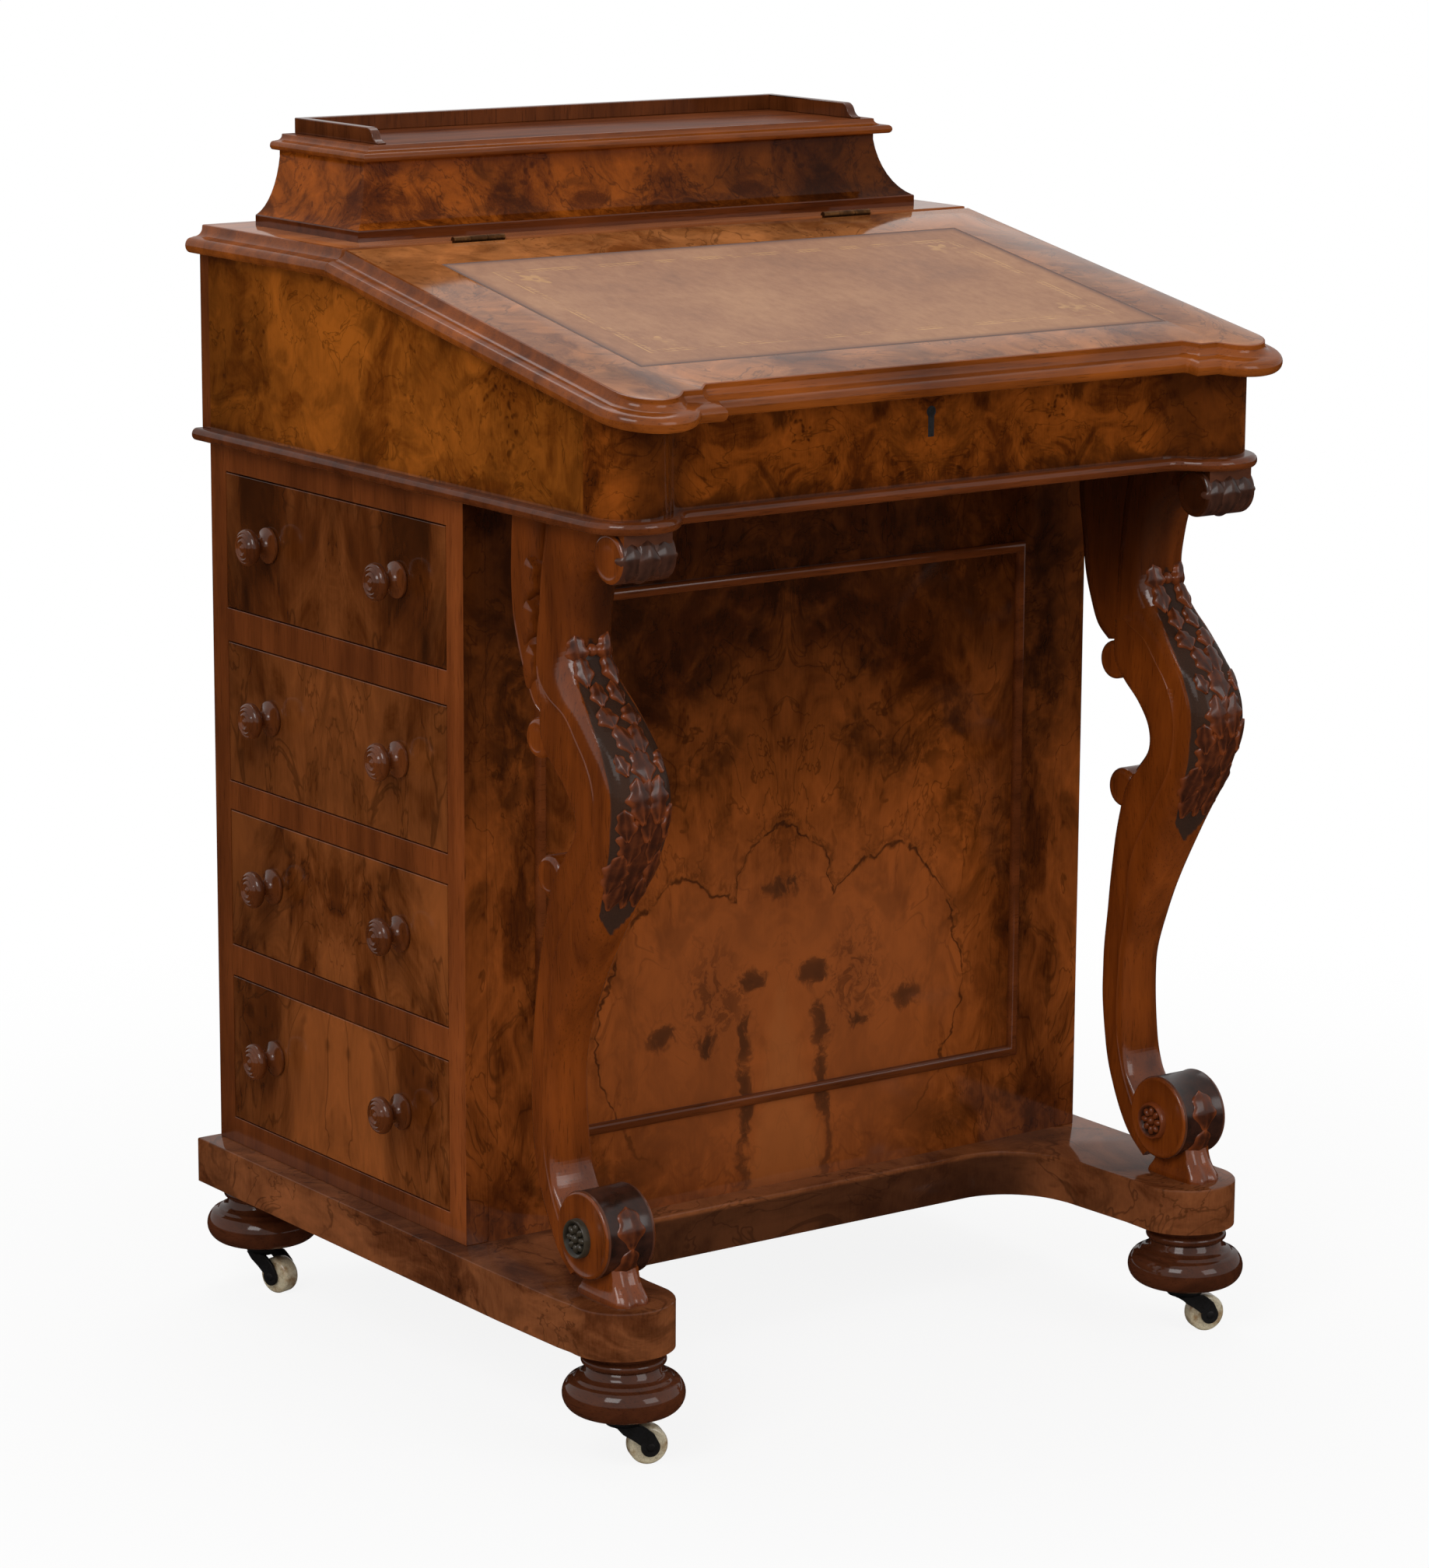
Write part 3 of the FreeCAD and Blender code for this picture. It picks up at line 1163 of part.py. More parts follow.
def stationery_walls():
    """Front and two ends, mitred together, hollow outside and plain inside."""
    inner = value("wall_half")
    inner_front = value("wall_front")
    slant = value("cavetto_front") / value("cavetto_side")
    low = value("top_high + plinth_height")
    high = value("small_lid_low")
    rear = value("stationery_rear")
    shell = cavetto_shell().cut(corner_box((-inner, inner_front, low - 1), (inner, rear + 1, high + 1)))
    out = 60
    corner = FreeCAD.Vector(inner + out, inner_front - out * slant, low - 1)
    mitre = [FreeCAD.Vector(inner, inner_front, low - 1), corner,
             FreeCAD.Vector(-corner.x, corner.y, low - 1),
             FreeCAD.Vector(-inner, inner_front, low - 1)]
    wedge = Part.Face(Part.makePolygon(mitre + mitre[:1])).extrude(
        FreeCAD.Vector(0, 0, high - low + 2))
    front = shell.common(wedge)
    for tool in keyhole_solids(value("neck_front"), high - value("small_keyhole_fall")):
        front = front.cut(tool)
    sub_part("stationery_box_front", shaped(front.Solids[0], "front"))
    ends = shell.cut(wedge)
    sub_part("stationery_box_ends", shaped(Part.makeCompound(ends.Solids), "ends"))


def stationery_back():
    """The back between the two ends, let in for the lid's hinges."""
    panel = board(("0 - wall_half", "stationery_rear - stationery_wall", "top_high"),
                  ("wall_half", "stationery_rear", "small_lid_low"))
    recess = [
        board((place + " - hinge_length/2", "stationery_rear - leaf_thick",
               "small_lid_low - leaf_drop"),
              (place + " + hinge_length/2", "stationery_rear + 1", "small_lid_low + 1"))
        for place in hinge_places()]
    recess += hinge_clearance("stationery_rear + hinge_proud", "small_lid_low")
    return sub_part("stationery_box_back", cut_from(panel, recess))


def keyhole_solids(face, top):
    radius = value("keyhole_radius")
    deep = value("keyhole_depth")
    eye = Part.makeCylinder(
        radius, deep + 1, FreeCAD.Vector(0, face - 1, top), FreeCAD.Vector(0, 1, 0))
    slot = corner_box((-radius * 0.6, face - 1, top - value("keyhole_drop") * 0.6),
                      (radius * 0.6, face + deep, top))
    return eye, slot


def stationery_plinth():
    """A three-sided strip under the hollow walls, its top edge rounded."""
    half = "stationery_half + 1"
    front = "stationery_front - 1"
    inner = "wall_half"
    inner_front = "wall_front"
    body = padded(new_body("plinth"), "XY_Plane", (
        (half, "stationery_rear", 0), (half, front, 0),
        ("0 - (%s)" % half, front, 0), ("0 - (%s)" % half, "stationery_rear", 0),
        ("0 - (%s)" % inner, "stationery_rear", 0), ("0 - (%s)" % inner, inner_front, 0),
        (inner, inner_front, 0), (inner, "stationery_rear", 0)), "plinth_height")
    high, outer, near = value("plinth_height"), value(half), value(front)
    rounded(body, "1.0", lambda box: level(box, high) and (
        abs(box.XMin) > outer - 0.01 and abs(box.XMax) > outer - 0.01 or box.YMax < near + 0.01))
    return sub_part("stationery_plinth", put(body, z="top_high"))


def stationery_partitions():
    """Thin upright partitions that divide the box for paper and envelopes."""
    near = "wall_front + lock_thick + 2"
    rear = "stationery_rear - stationery_wall"
    half = "partition_thick/2"
    high = "top_high + stationery_height*0.8"
    pieces = []
    for side, name in SIDES:
        place = "%d*neck_half*0.42" % side
        pieces.append(board((place + " - " + half, near, "top_high"), (place + " + " + half, rear, high)))
    shelf = "(%s + (%s))/2" % (near, rear)
    pieces.append(board(("0 - neck_half*0.42 + " + half, shelf + " - " + half, "top_high"),
                        ("neck_half*0.42 - " + half, shelf + " + " + half, high)))
    return sub_part("stationery_partitions", group(pieces))


def stationery_lid():
    """The small lid with its moulded edge; the strike plate is let into its underside."""
    low = value("small_lid_low")
    thick = value("small_lid_thick")
    gap = value("gap")
    half, front = value("small_lid_half"), value("small_lid_front")
    shape = ruled_stack([
        stationery_outline(half - inset, front + inset, low + height)
        for height, inset in edge_levels(thick, value("small_lid_mould"))])
    rear = value("stationery_rear")
    under = corner_box((-400, rear - 400, low - 1), (400, rear + 1, low + gap / 2))
    leaf = value("leaf_thick")
    shape = shape.cut(under)
    for place in hinge_places():
        middle, half = value(place), value("hinge_length/2")
        shape = shape.cut(corner_box(
            (middle - half, rear - leaf, low - 1),
            (middle + half, rear + 1, value("small_lid_high - 1"))))
        shape = shape.cut(Part.makeCylinder(
            value("knuckle_radius + gap"), 2 * half + 2 * gap,
            FreeCAD.Vector(middle - half - gap, value("stationery_rear + hinge_proud"), low),
            FreeCAD.Vector(1, 0, 0)))
    bolt = value("wall_front + lock_thick/2")
    room = 2.0
    wide, deep = value("bolt_width") / 2 + room, value("bolt_thick") / 2 + room
    pocket = corner_box((-wide, bolt - deep, low - 1), (wide, bolt + deep, low + value("bolt_throw") + 1))
    plate = corner_box(
        (-value("strike_width") / 2, bolt - value("strike_depth") / 2, low - 1),
        (value("strike_width") / 2, bolt + value("strike_depth") / 2, low + gap / 2 + value("strike_thick")))
    shape = shape.cut(plate).cut(pocket)
    sub_part("stationery_lid", shaped(shape.Solids[0], "lid"))
    fit = 0.05
    strike = corner_box(
        (-value("strike_width") / 2 + fit, bolt - value("strike_depth") / 2 + fit, low + gap / 2),
        (value("strike_width") / 2 - fit, bolt + value("strike_depth") / 2 - fit,
         low + gap / 2 + value("strike_thick"))).cut(pocket)
    sub_part("stationery_lock_strike", shaped(strike.Solids[0], "strike"))


def stationery_gallery():
    """A low gallery on three sides of the stationery lid, its front ends swept down."""
    half = "(small_lid_half - gallery_side_margin)"
    start = "small_lid_front + gallery_front_margin"
    rear = "stationery_rear - gallery_back_margin"
    rails = []
    for side, name in SIDES:
        body = padded(new_body("rail"), "YZ_Plane", (
            (start, "0", 0),
            (rear, "0", 0),
            (rear, "gallery_height", 0),
            (start + " + gallery_height*1.4", "gallery_height", "gallery_height*0.75"),
            (start + " + gallery_height*0.7", "gallery_height*0.5", "0 - gallery_height*0.75"),
            (start, "gallery_height*0.12", 0),
        ), "gallery_thick")
        place = half + " - gallery_thick" if side > 0 else "0 - " + half
        rails.append(put(body, place, z="small_lid_high"))
    rails.append(board(
        ("gallery_thick - " + half, rear + " - gallery_thick", "small_lid_high"),
        (half + " - gallery_thick", rear, "small_lid_high + gallery_height")))
    return sub_part("stationery_gallery", group(rails))


def check_and_write():
    """Every object must be sound before anything is written."""
    doc.recompute()
    failed = [item.Name for item in doc.Objects
              if "Invalid" in item.State or "Error" in item.State]
    if failed:
        raise RuntimeError("objects not computed: " + ", ".join(failed))
    for item in sub_parts:
        if item.Shape.isNull() or not item.Shape.Solids or not item.Shape.isValid():
            raise RuntimeError(item.Label + " has no valid solid")
    os.makedirs("parts", exist_ok=True)
    for item in sub_parts:
        item.Shape.exportStep("parts/%s.step" % item.Label)


bun_feet()
castor_sockets()
for castor_place in feet_places():
    castor(*castor_place)
base_platform()
scroll_supports()
volute_bosses()
front_panels()
front_panel_moulding()
pedestal_left_side()
drawer_opening_frame()
drawer_runners()
dummy_drawer_knobs()
for drawer_name in DRAWERS:
    drawer_pieces(drawer_name, "drawer_four_proud" if drawer_name == "four" else "0")
writing_box_sides()
writing_box_front()
writing_box_bottom()
slope_lock()
level_top()
slope_lid()
writing_skiver()
slope_lock_strike()
slope_hinges()
stationery_plinth()
stationery_walls()
stationery_back()
stationery_partitions()
stationery_lid()
stationery_hinges()
stationery_gallery()
lock_pieces("stationery", "wall_front", "small_lid_low - 0.5")
check_and_write()
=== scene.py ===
"""The looks of a Victorian davenport desk, made round its fixed CAD frame.

Metres. +X is the sitter's right, +Y runs from the sitter to the back, +Z is up.
Sizes in the lists below are in millimetres and go through MM.
"""

import json
import math
from functools import reduce

import bmesh
import bpy
from mathutils import Matrix, Vector

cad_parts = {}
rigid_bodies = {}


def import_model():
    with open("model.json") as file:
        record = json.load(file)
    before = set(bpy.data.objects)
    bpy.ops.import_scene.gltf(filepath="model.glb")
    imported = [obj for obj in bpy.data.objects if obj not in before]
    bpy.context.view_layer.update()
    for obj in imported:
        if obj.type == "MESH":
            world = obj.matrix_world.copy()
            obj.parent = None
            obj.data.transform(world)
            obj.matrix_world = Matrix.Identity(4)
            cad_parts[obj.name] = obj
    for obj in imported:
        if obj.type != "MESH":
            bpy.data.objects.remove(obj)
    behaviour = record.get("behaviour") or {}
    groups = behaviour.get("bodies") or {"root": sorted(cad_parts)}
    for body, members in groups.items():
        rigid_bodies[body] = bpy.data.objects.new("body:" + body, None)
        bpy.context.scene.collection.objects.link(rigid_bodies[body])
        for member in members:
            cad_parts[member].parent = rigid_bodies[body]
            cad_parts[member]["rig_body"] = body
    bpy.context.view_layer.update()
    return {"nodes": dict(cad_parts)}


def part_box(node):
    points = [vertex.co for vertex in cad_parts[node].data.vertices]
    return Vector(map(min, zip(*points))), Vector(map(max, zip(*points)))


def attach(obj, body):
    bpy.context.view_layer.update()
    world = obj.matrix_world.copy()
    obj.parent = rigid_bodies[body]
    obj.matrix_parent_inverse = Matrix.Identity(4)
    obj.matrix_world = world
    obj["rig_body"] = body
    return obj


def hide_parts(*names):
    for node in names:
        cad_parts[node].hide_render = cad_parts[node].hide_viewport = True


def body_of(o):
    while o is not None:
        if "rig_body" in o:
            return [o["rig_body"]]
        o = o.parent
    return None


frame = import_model()
nodes = frame["nodes"]
body_of_node = {name: body_of(item)[0] for name, item in nodes.items()}

MM = 0.001

# where pieces stand on the desk, in millimetres
FRONT_PLANE = -69.25  # the pedestal's front
TOP_HEIGHT = 788  # the level top
PLATFORM_TOP = 115.8
FOOT_X = 246.8
FEET_Y = (-226.05, 242.75)
HINGE_LINE = 78.75
HINGES_X = (-160, 160)
SLOPE = 0.186  # the writing slope's fall for its depth

# ---------------------------------------------------------------- shader language


class Signal:
    """A value socket that adds Math nodes when it is used in an expression."""

    def __init__(self, finish, socket):
        self.finish = finish
        self.socket = socket

    def __add__(self, other):
        return self.finish.math("ADD", self, other)

    def __sub__(self, other):
        return self.finish.math("SUBTRACT", self, other)

    def __rsub__(self, other):
        return self.finish.math("SUBTRACT", other, self)

    def __mul__(self, other):
        return self.finish.math("MULTIPLY", self, other)

    def __truediv__(self, other):
        return self.finish.math("DIVIDE", self, other)

    def __pow__(self, other):
        return self.finish.math("POWER", self, other)

    def __abs__(self):
        return self.finish.math("ABSOLUTE", self)

    __radd__ = __add__
    __rmul__ = __mul__


class Finish:
    """One procedural material and the words that its nodes are written in."""

    def __init__(self, name):
        self.material = bpy.data.materials.new(name)
        self.material.use_nodes = True
        self.tree = self.material.node_tree
        self.tree.nodes.clear()
        self.place = self.node("ShaderNodeTexCoord", output="Object")

    def node(self, kind, settings=(), inputs=(), output=0):
        """Any node: its settings are made first, then its sockets are set or linked."""
        node = self.tree.nodes.new(kind)
        for key, setting in dict(settings).items():
            if key == "stops":
                for number, (place, colour) in enumerate(setting):
                    if number > 1:
                        node.color_ramp.elements.new(place)
                    node.color_ramp.elements[number].position = place
                    node.color_ramp.elements[number].color = colour
            else:
                setattr(node, key, setting)
        for key, given in dict(inputs).items():
            if isinstance(given, Signal):
                self.tree.links.new(given.socket, node.inputs[key])
            else:
                node.inputs[key].default_value = given
        return None if output is None else Signal(self, node.outputs[output])

    def math(self, operation, *values):
        return self.node("ShaderNodeMath", {"operation": operation}, enumerate(values))

    def least(self, first, second):
        return self.math("MINIMUM", first, second)

    def most(self, first, second):
        return self.math("MAXIMUM", first, second)

    def vector(self, operation, first, second):
        return self.node("ShaderNodeVectorMath", {"operation": operation}, {0: first, 1: second})

    def mapped(self, place, scale=(1, 1, 1), shift=(0, 0, 0)):
        return self.node("ShaderNodeMapping", (), {
            "Vector": place, "Scale": scale, "Location": shift})

    def axes(self, place=None):
        """The three coordinates of a place, as values."""
        split = self.tree.nodes.new("ShaderNodeSeparateXYZ")
        self.tree.links.new((place or self.place).socket, split.inputs[0])
        return [Signal(self, socket) for socket in split.outputs]

    def joined(self, x, y, z):
        return self.node("ShaderNodeCombineXYZ", (), {0: x, 1: y, 2: z})

    def noise(self, place, scale, detail=3.0, rough=0.5, warp=0.0, output=0):
        return self.node("ShaderNodeTexNoise", (), {
            "Vector": place, "Scale": scale, "Detail": detail, "Roughness": rough,
            "Distortion": warp}, output)

    def cells(self, place, scale, feature="SMOOTH_F1"):
        return self.node("ShaderNodeTexVoronoi", {"feature": feature}, {
            "Vector": place, "Scale": scale})

    def band(self, value, low, high, start=0.0, end=1.0):
        """The value between two limits, eased and brought to 0 to 1 or the range given."""
        return self.node("ShaderNodeMapRange", {"interpolation_type": "SMOOTHSTEP"}, {
            0: value, 1: low, 2: high, 3: start, 4: end})

    def mix(self, share, first, second):
        """Two colours mixed; a plain tuple is a colour."""
        return self.node("ShaderNodeMix", {"data_type": "RGBA"}, {
            0: share, 6: first, 7: second}, 2)

    def ramp(self, value, *stops):
        return self.node("ShaderNodeValToRGB", {"stops": stops}, {0: value})

    def bump(self, height, depth, strength=1.0):
        return self.node("ShaderNodeBump", (), {
            "Height": height, "Distance": depth, "Strength": strength})

    def surface(self, **sockets):
        """Ends the material with its shader; underscores in the names stand for spaces."""
        shader = self.node("ShaderNodeBsdfPrincipled", (), {
            key.replace("_", " "): given for key, given in sockets.items()})
        self.node("ShaderNodeOutputMaterial", (), {"Surface": shader}, None)
        return self.material


def tone(red, green, blue):
    """A display colour, 0 to 255, as the linear colour that shaders use."""
    linear = [(c / 255 / 12.92 if c <= 10 else ((c / 255 + 0.055) / 1.055) ** 2.4)
              for c in (red, green, blue)]
    return (*linear, 1.0)


def deepened(colour, share):
    """A colour with its light scaled, and kept within white."""
    return (*(min(1.0, c * share) for c in colour[:3]), 1.0)


# ---------------------------------------------------------------- finishes

WHITE = (1.0, 1.0, 1.0, 1.0)


def swirled(finish, place, scale, amount):
    """A place pushed about by noise, so that a pattern read there is curled."""
    push = finish.vector("SUBTRACT", finish.noise(place, scale, 2.0, output=1), (0.5, 0.5, 0.5))
    return finish.vector("ADD", place, finish.node(
        "ShaderNodeVectorMath", {"operation": "SCALE"}, {0: push, "Scale": amount}))


def polished(finish, colour, height, gloss=0.2, depth=0.00015, shine=0.85, haze=0.09):
    """French polish over wood: a clear coat, and the grain just felt through it."""
    return finish.surface(
        Base_Color=colour, Roughness=0.4 + gloss * height, Normal=finish.bump(height, depth, 0.5),
        Specular_IOR_Level=0.0, Coat_Weight=shine, Coat_Roughness=haze)


def burr_veneer(name, dark, middle, light, seed=0.0, scale=1.0, fold=None, stretch=(1, 1, 1),
                streak=0.0, shade=None, knots=0.7, shine=0.85, smoky=0.62):
    """Burr walnut veneer: clouded figure with smoke, veins, curled lines and dark pips.

    fold is an axis number and the place of the joint of two book-matched leaves; shade
    is a function that colours the whole piece over its figure.
    """
    finish = Finish(name)
    axes = finish.axes()
    if fold:
        axes[fold[0]] = abs(axes[fold[0]] - fold[1])
    place = finish.mapped(finish.joined(*axes), stretch, (seed, seed * 0.37, seed * 0.71))
    curled = swirled(finish, place, 9 * scale, 0.07 / scale)
    clouds = finish.noise(curled, 10 * scale, 4.0, 0.55, 0.6)
    curls = finish.noise(curled, 38 * scale, 5.0, 0.65, 1.2)
    smoke = finish.band(finish.noise(curled, 17 * scale, 5.0, 0.62, 0.8), 0.50, 0.66)
    veins = finish.band(abs(finish.noise(curled, 21 * scale, 4.0, 0.6, 0.8) - 0.5), 0.014, 0.002)
    lines = finish.math("SINE", clouds * 62 + curls * 5)
    pips = finish.cells(swirled(finish, place, 60 * scale, 0.014), 150 * scale)
    groups = finish.band(finish.noise(curled, 13 * scale, 2.0), 0.54, 0.68)
    dots = finish.band(pips, 0.34, 0.08) * groups * knots
    grain = finish.noise(finish.mapped(place, (2.4, 2.4, 0.25)), 420, 2.0, 0.7)
    level = clouds * 1.05 + curls * 0.62 + lines * 0.022 + grain * 0.16 - 0.385 - dots * 0.15
    if streak:
        streaks = finish.noise(finish.mapped(place, (1, 1, 0.12)), 24 * scale, 3.0)
        level = level + streaks * streak - streak * 0.5
    colour = finish.ramp(
        level, (0.22, dark), (0.40, middle), (0.55, light),
        (0.74, deepened(light, 1.5)))
    deep = deepened(dark, 0.45)
    colour = finish.mix(smoke * smoky, colour, deep)
    colour = finish.mix(veins * (1 - smoke) * 0.45, colour, deep)
    colour = finish.mix(dots * 0.75, colour, deep)
    if shade:
        colour = shade(finish, colour)
    return polished(finish, colour, level, shine=shine)


def straight_walnut(name, dark, light, seed=0.0, along=2, gloss=0.2, shine=0.85, haze=0.09,
                    shade=None):
    """Plain walnut: long soft streaks along one axis, and short dark pores."""
    finish = Finish(name)
    long_way = tuple(0.09 if axis == along else 1.0 for axis in range(3))
    pore_way = tuple(0.05 if axis == along else 1.0 for axis in range(3))
    place = finish.mapped(finish.place, (1, 1, 1), (seed, seed * 0.6, seed * 0.3))
    bent = swirled(finish, place, 5, 0.02)
    streaks = finish.noise(finish.mapped(bent, long_way), 55, 4.0, 0.6, 0.4)
    pores = finish.band(finish.noise(finish.mapped(place, pore_way), 900, 2.0, 0.6), 0.56, 0.70)
    broad = finish.noise(place, 12, 3.0)
    level = streaks * 0.7 + broad * 0.4 - 0.05
    colour = finish.ramp(level, (0.28, dark), (0.68, light))
    colour = finish.mix(pores * 0.45, colour, deepened(dark, 0.4))
    # the punched ground round the carving, where the mesh is marked as carved
    carved = finish.node("ShaderNodeAttribute", {"attribute_name": "carved"}, (), "Fac")
    pits = finish.cells(finish.place, 620, "F1")
    colour = finish.mix(finish.band(carved, 0.35, 0.85) * 0.92, colour, tone(50, 38, 31))
    if shade:
        colour = shade(finish, colour)
    return polished(finish, colour, level - pores * 0.5 + pits * carved * 6, gloss,
                    shine=shine - carved * shine * 0.8, haze=haze)


def carved_walnut(name, dark, light, hollow, seed):
    """Carved work: dark polish left in the hollows and rubbed wood on what stands out."""
    finish = Finish(name)
    place = finish.mapped(finish.place, (1, 1, 1), (seed, seed, seed))
    stain = finish.noise(place, 90, 4.0, 0.6)
    rubbed = finish.node("ShaderNodeNewGeometry", (), (), "Pointiness")
    level = stain * 0.6 + finish.band(rubbed, 0.46, 0.58) * 0.5
    colour = finish.ramp(level, (0.24, hollow), (0.46, dark), (0.88, light))
    return polished(finish, colour, stain, 0.25, shine=0.6, haze=0.2)


# the leather's tooling, in metres in from its edge
RULE_INSET = 0.0255
ROPE_INSET = 0.0295
FLOWER_INSET = 0.046


def skiver_leather():
    """Pinkish tan leather, worn and marked, with a gilt border tooled round it."""
    finish = Finish("tooled_skiver_leather")
    place = finish.place
    low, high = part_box("writing_skiver")
    x, y, _ = finish.axes()
    patches = finish.noise(swirled(finish, place, 14, 0.03), 9, 5.0, 0.6)
    flecks = finish.noise(finish.mapped(place, (1, 0.5, 1)), 150, 4.0, 0.7)
    grain = finish.cells(place, 900, "F1")
    level = patches * 0.7 + flecks * 0.35
    colour = finish.ramp(
        level, (0.32, tone(122, 76, 46)), (0.5, tone(152, 102, 67)), (0.72, tone(178, 130, 92)))
    from_side = (high.x - low.x) / 2 - abs(x)
    from_end = (high.y - low.y) / 2 - abs(y - (low.y + high.y) / 2)
    inset = finish.least(from_side, from_end)
    rule = finish.band(abs(inset - RULE_INSET), 0.0010, 0.0004)
    rope = finish.band(abs(inset - ROPE_INSET), 0.0019, 0.0011) * finish.band(
        finish.math("SINE", (x + y) * 1250), -0.2, 0.5)
    edge = finish.band(abs(inset - 0.0012), 0.0013, 0.0005)
    worn = finish.band(finish.noise(place, 60, 3.0), 0.38, 0.58)
    gilt = finish.most(rule, rope) * worn
    colour = finish.mix(finish.band(inset, 0.010, 0.0), colour, tone(112, 70, 48))
    # a small gilt flower inside each corner of the border
    along, across = FLOWER_INSET - from_side, FLOWER_INSET - from_end
    reach = finish.math("SQRT", along * along + across * across)
    petals = finish.math("COSINE", finish.math("ARCTAN2", across, along) * 6)
    flower = (finish.band(reach - petals * 0.0028, 0.0105, 0.0085)
              * finish.band(reach, 0.0016, 0.0030))
    gilt = finish.most(gilt, flower * worn * 0.8)
    colour = finish.mix(gilt * 0.6, colour, tone(206, 158, 96))
    colour = finish.mix(edge * 0.85, colour, tone(74, 44, 28))
    height = grain * 0.25 + flecks * 0.5 - finish.most(rule, rope) * 0.8 - edge
    return finish.surface(
        Base_Color=colour, Roughness=0.46 + patches * 0.18 - gilt * 0.1, Metallic=gilt * 0.35,
        Normal=finish.bump(height, 0.0003, 0.6), Specular_IOR_Level=0.5)


def plain_metal(name, bright, dull, rough, metallic=1.0):
    """Old metal: bright where it is rubbed, dull and spotted where it is not."""
    finish = Finish(name)
    wear = finish.noise(finish.place, 120, 5.0, 0.65)
    spots = finish.band(finish.noise(finish.place, 420, 3.0), 0.55, 0.72)
    share = finish.least(finish.band(wear, 0.36, 0.6) * 0.8 + spots * 0.35, 1.0)
    return finish.surface(
        Base_Color=finish.mix(share, bright, dull), Roughness=rough + share * 0.25,
        Metallic=metallic, Normal=finish.bump(wear + spots * 0.4, 0.0002, 0.5))


def castor_ceramic():
    """Cream glazed ceramic with brown crazing and dirt."""
    finish = Finish("glazed_castor_ceramic")
    clouds = finish.noise(finish.place, 90, 4.0, 0.6)
    craze = finish.band(finish.cells(finish.place, 380, "DISTANCE_TO_EDGE"), 0.05, 0.0)
    colour = finish.mix(finish.band(clouds, 0.42, 0.68), tone(222, 208, 176), tone(164, 128, 84))
    colour = finish.mix(craze * 0.5, colour, tone(96, 66, 40))
    return finish.surface(
        Base_Color=colour, Roughness=0.22 + clouds * 0.2, Coat_Weight=0.5, Coat_Roughness=0.1,
        Normal=finish.bump(clouds, 0.0002, 0.3))


def away_from(finish, x, z, middle_x, middle_z, wide, high):
    """How far a place is from the middle of an oval: 1 on the oval."""
    return finish.math("SQRT", ((x - middle_x) / wide) ** 2.0 + ((z - middle_z) / high) ** 2.0)


def strongest(finish, x, z, ovals, outer, inner):
    """Soft spots: 0 beyond their outer share, 1 within their inner share."""
    spots = [finish.band(away_from(finish, x, z, *oval), outer, inner) for oval in ovals]
    return reduce(finish.most, spots)


# ovals of the pedestal's figure: distance from the joint, height, half width, half height
PEDESTAL_OVALS = ((88, 245, 70, 104), (0, 300, 45, 79))
PEDESTAL_KNOTS = ((30, 268, 14, 11), (108, 238, 15, 12), (66, 229, 10, 8), (36, 180, 7, 50),
                  (8, 335, 12, 9), (34, 228, 8, 20), (36, 120, 5, 40))
PEDESTAL_CLOUDS = ((125, 420, 40, 30), (162, 364, 26, 40), (83, 425, 26, 20), (75, 499, 34, 30),
                   (54, 441, 22, 22), (20, 560, 90, 60), (150, 560, 90, 60), (205, 300, 22, 130),
                   (230, 480, 30, 120), (110, 170, 34, 16), (150, 140, 30, 14))
PEDESTAL_GLOW = (40, 235, 150, 150)
PEDESTAL_HEART = (62, 262, 34, 46)


def book_matched(finish, colour):
    """The pedestal front: two leaves opened like a book, with ovals, knots and clouds, and painted
    shade at its top.
    """
    push = swirled(finish, finish.place, 26, 0.030)
    fine = swirled(finish, push, 100, 0.012)
    x, _, z = [axis / MM for axis in finish.axes(fine)]
    x = abs(x)
    clouds = strongest(finish, x, z, PEDESTAL_CLOUDS, 1.25, 0.2)
    mottle = finish.noise(fine, 60, 4.0, 0.6)
    smear = finish.noise(finish.mapped(fine, (1, 1, 0.55)), 120, 4.0, 0.7, 0.5)
    colour = finish.mix(clouds * finish.band(mottle, 0.35, 0.6) * 0.62, colour, tone(34, 15, 5))
    glow = strongest(finish, x, z, (PEDESTAL_GLOW,), 1.2, 0.35)
    colour = finish.mix(glow * 0.62, colour, tone(158, 84, 40))
    heart = strongest(finish, x, z, (PEDESTAL_HEART,), 1.2, 0.3)
    colour = finish.mix(heart * finish.band(smear, 0.47, 0.58) * 0.5, colour, tone(62, 32, 18))
    flame = finish.band(x - (268 - z) * 0.23, 9.0, -9.0) * finish.band(z, 276, 245)
    colour = finish.mix(flame * 0.45, colour, tone(160, 92, 46))
    edge = finish.least(*(away_from(finish, x, z, *oval) for oval in PEDESTAL_OVALS))
    ring = finish.band(abs(edge - 1), 0.022, 0.003) * finish.band(mottle, 0.34, 0.52)
    ring = ring * finish.most(finish.band(x, 58, 72), finish.band(z, 236, 256))
    colour = finish.mix(ring * finish.band(z, 120, 200) * 0.75, colour, tone(40, 20, 10))
    halo = finish.band(abs(edge - 1.05), 0.10, 0.0) * finish.band(smear, 0.44, 0.58)
    colour = finish.mix(halo * finish.band(z, 200, 260) * 0.4, colour, tone(40, 19, 8))
    knots = strongest(finish, x, z, PEDESTAL_KNOTS, 1.5, 0.2)
    soot = finish.band(knots * 0.9 + smear * 2.2 + mottle * 0.8, 1.72, 2.30)
    colour = finish.mix(soot * knots ** 0.5 * finish.band(z, 96, 170, 0.35, 0.72), colour,
                        tone(44, 28, 19))
    # painted shade: the front darkens towards its top, under the writing box
    upper = finish.band(z, 300, 600)
    return finish.mix(upper * 0.72, colour, tone(30, 12, 4))


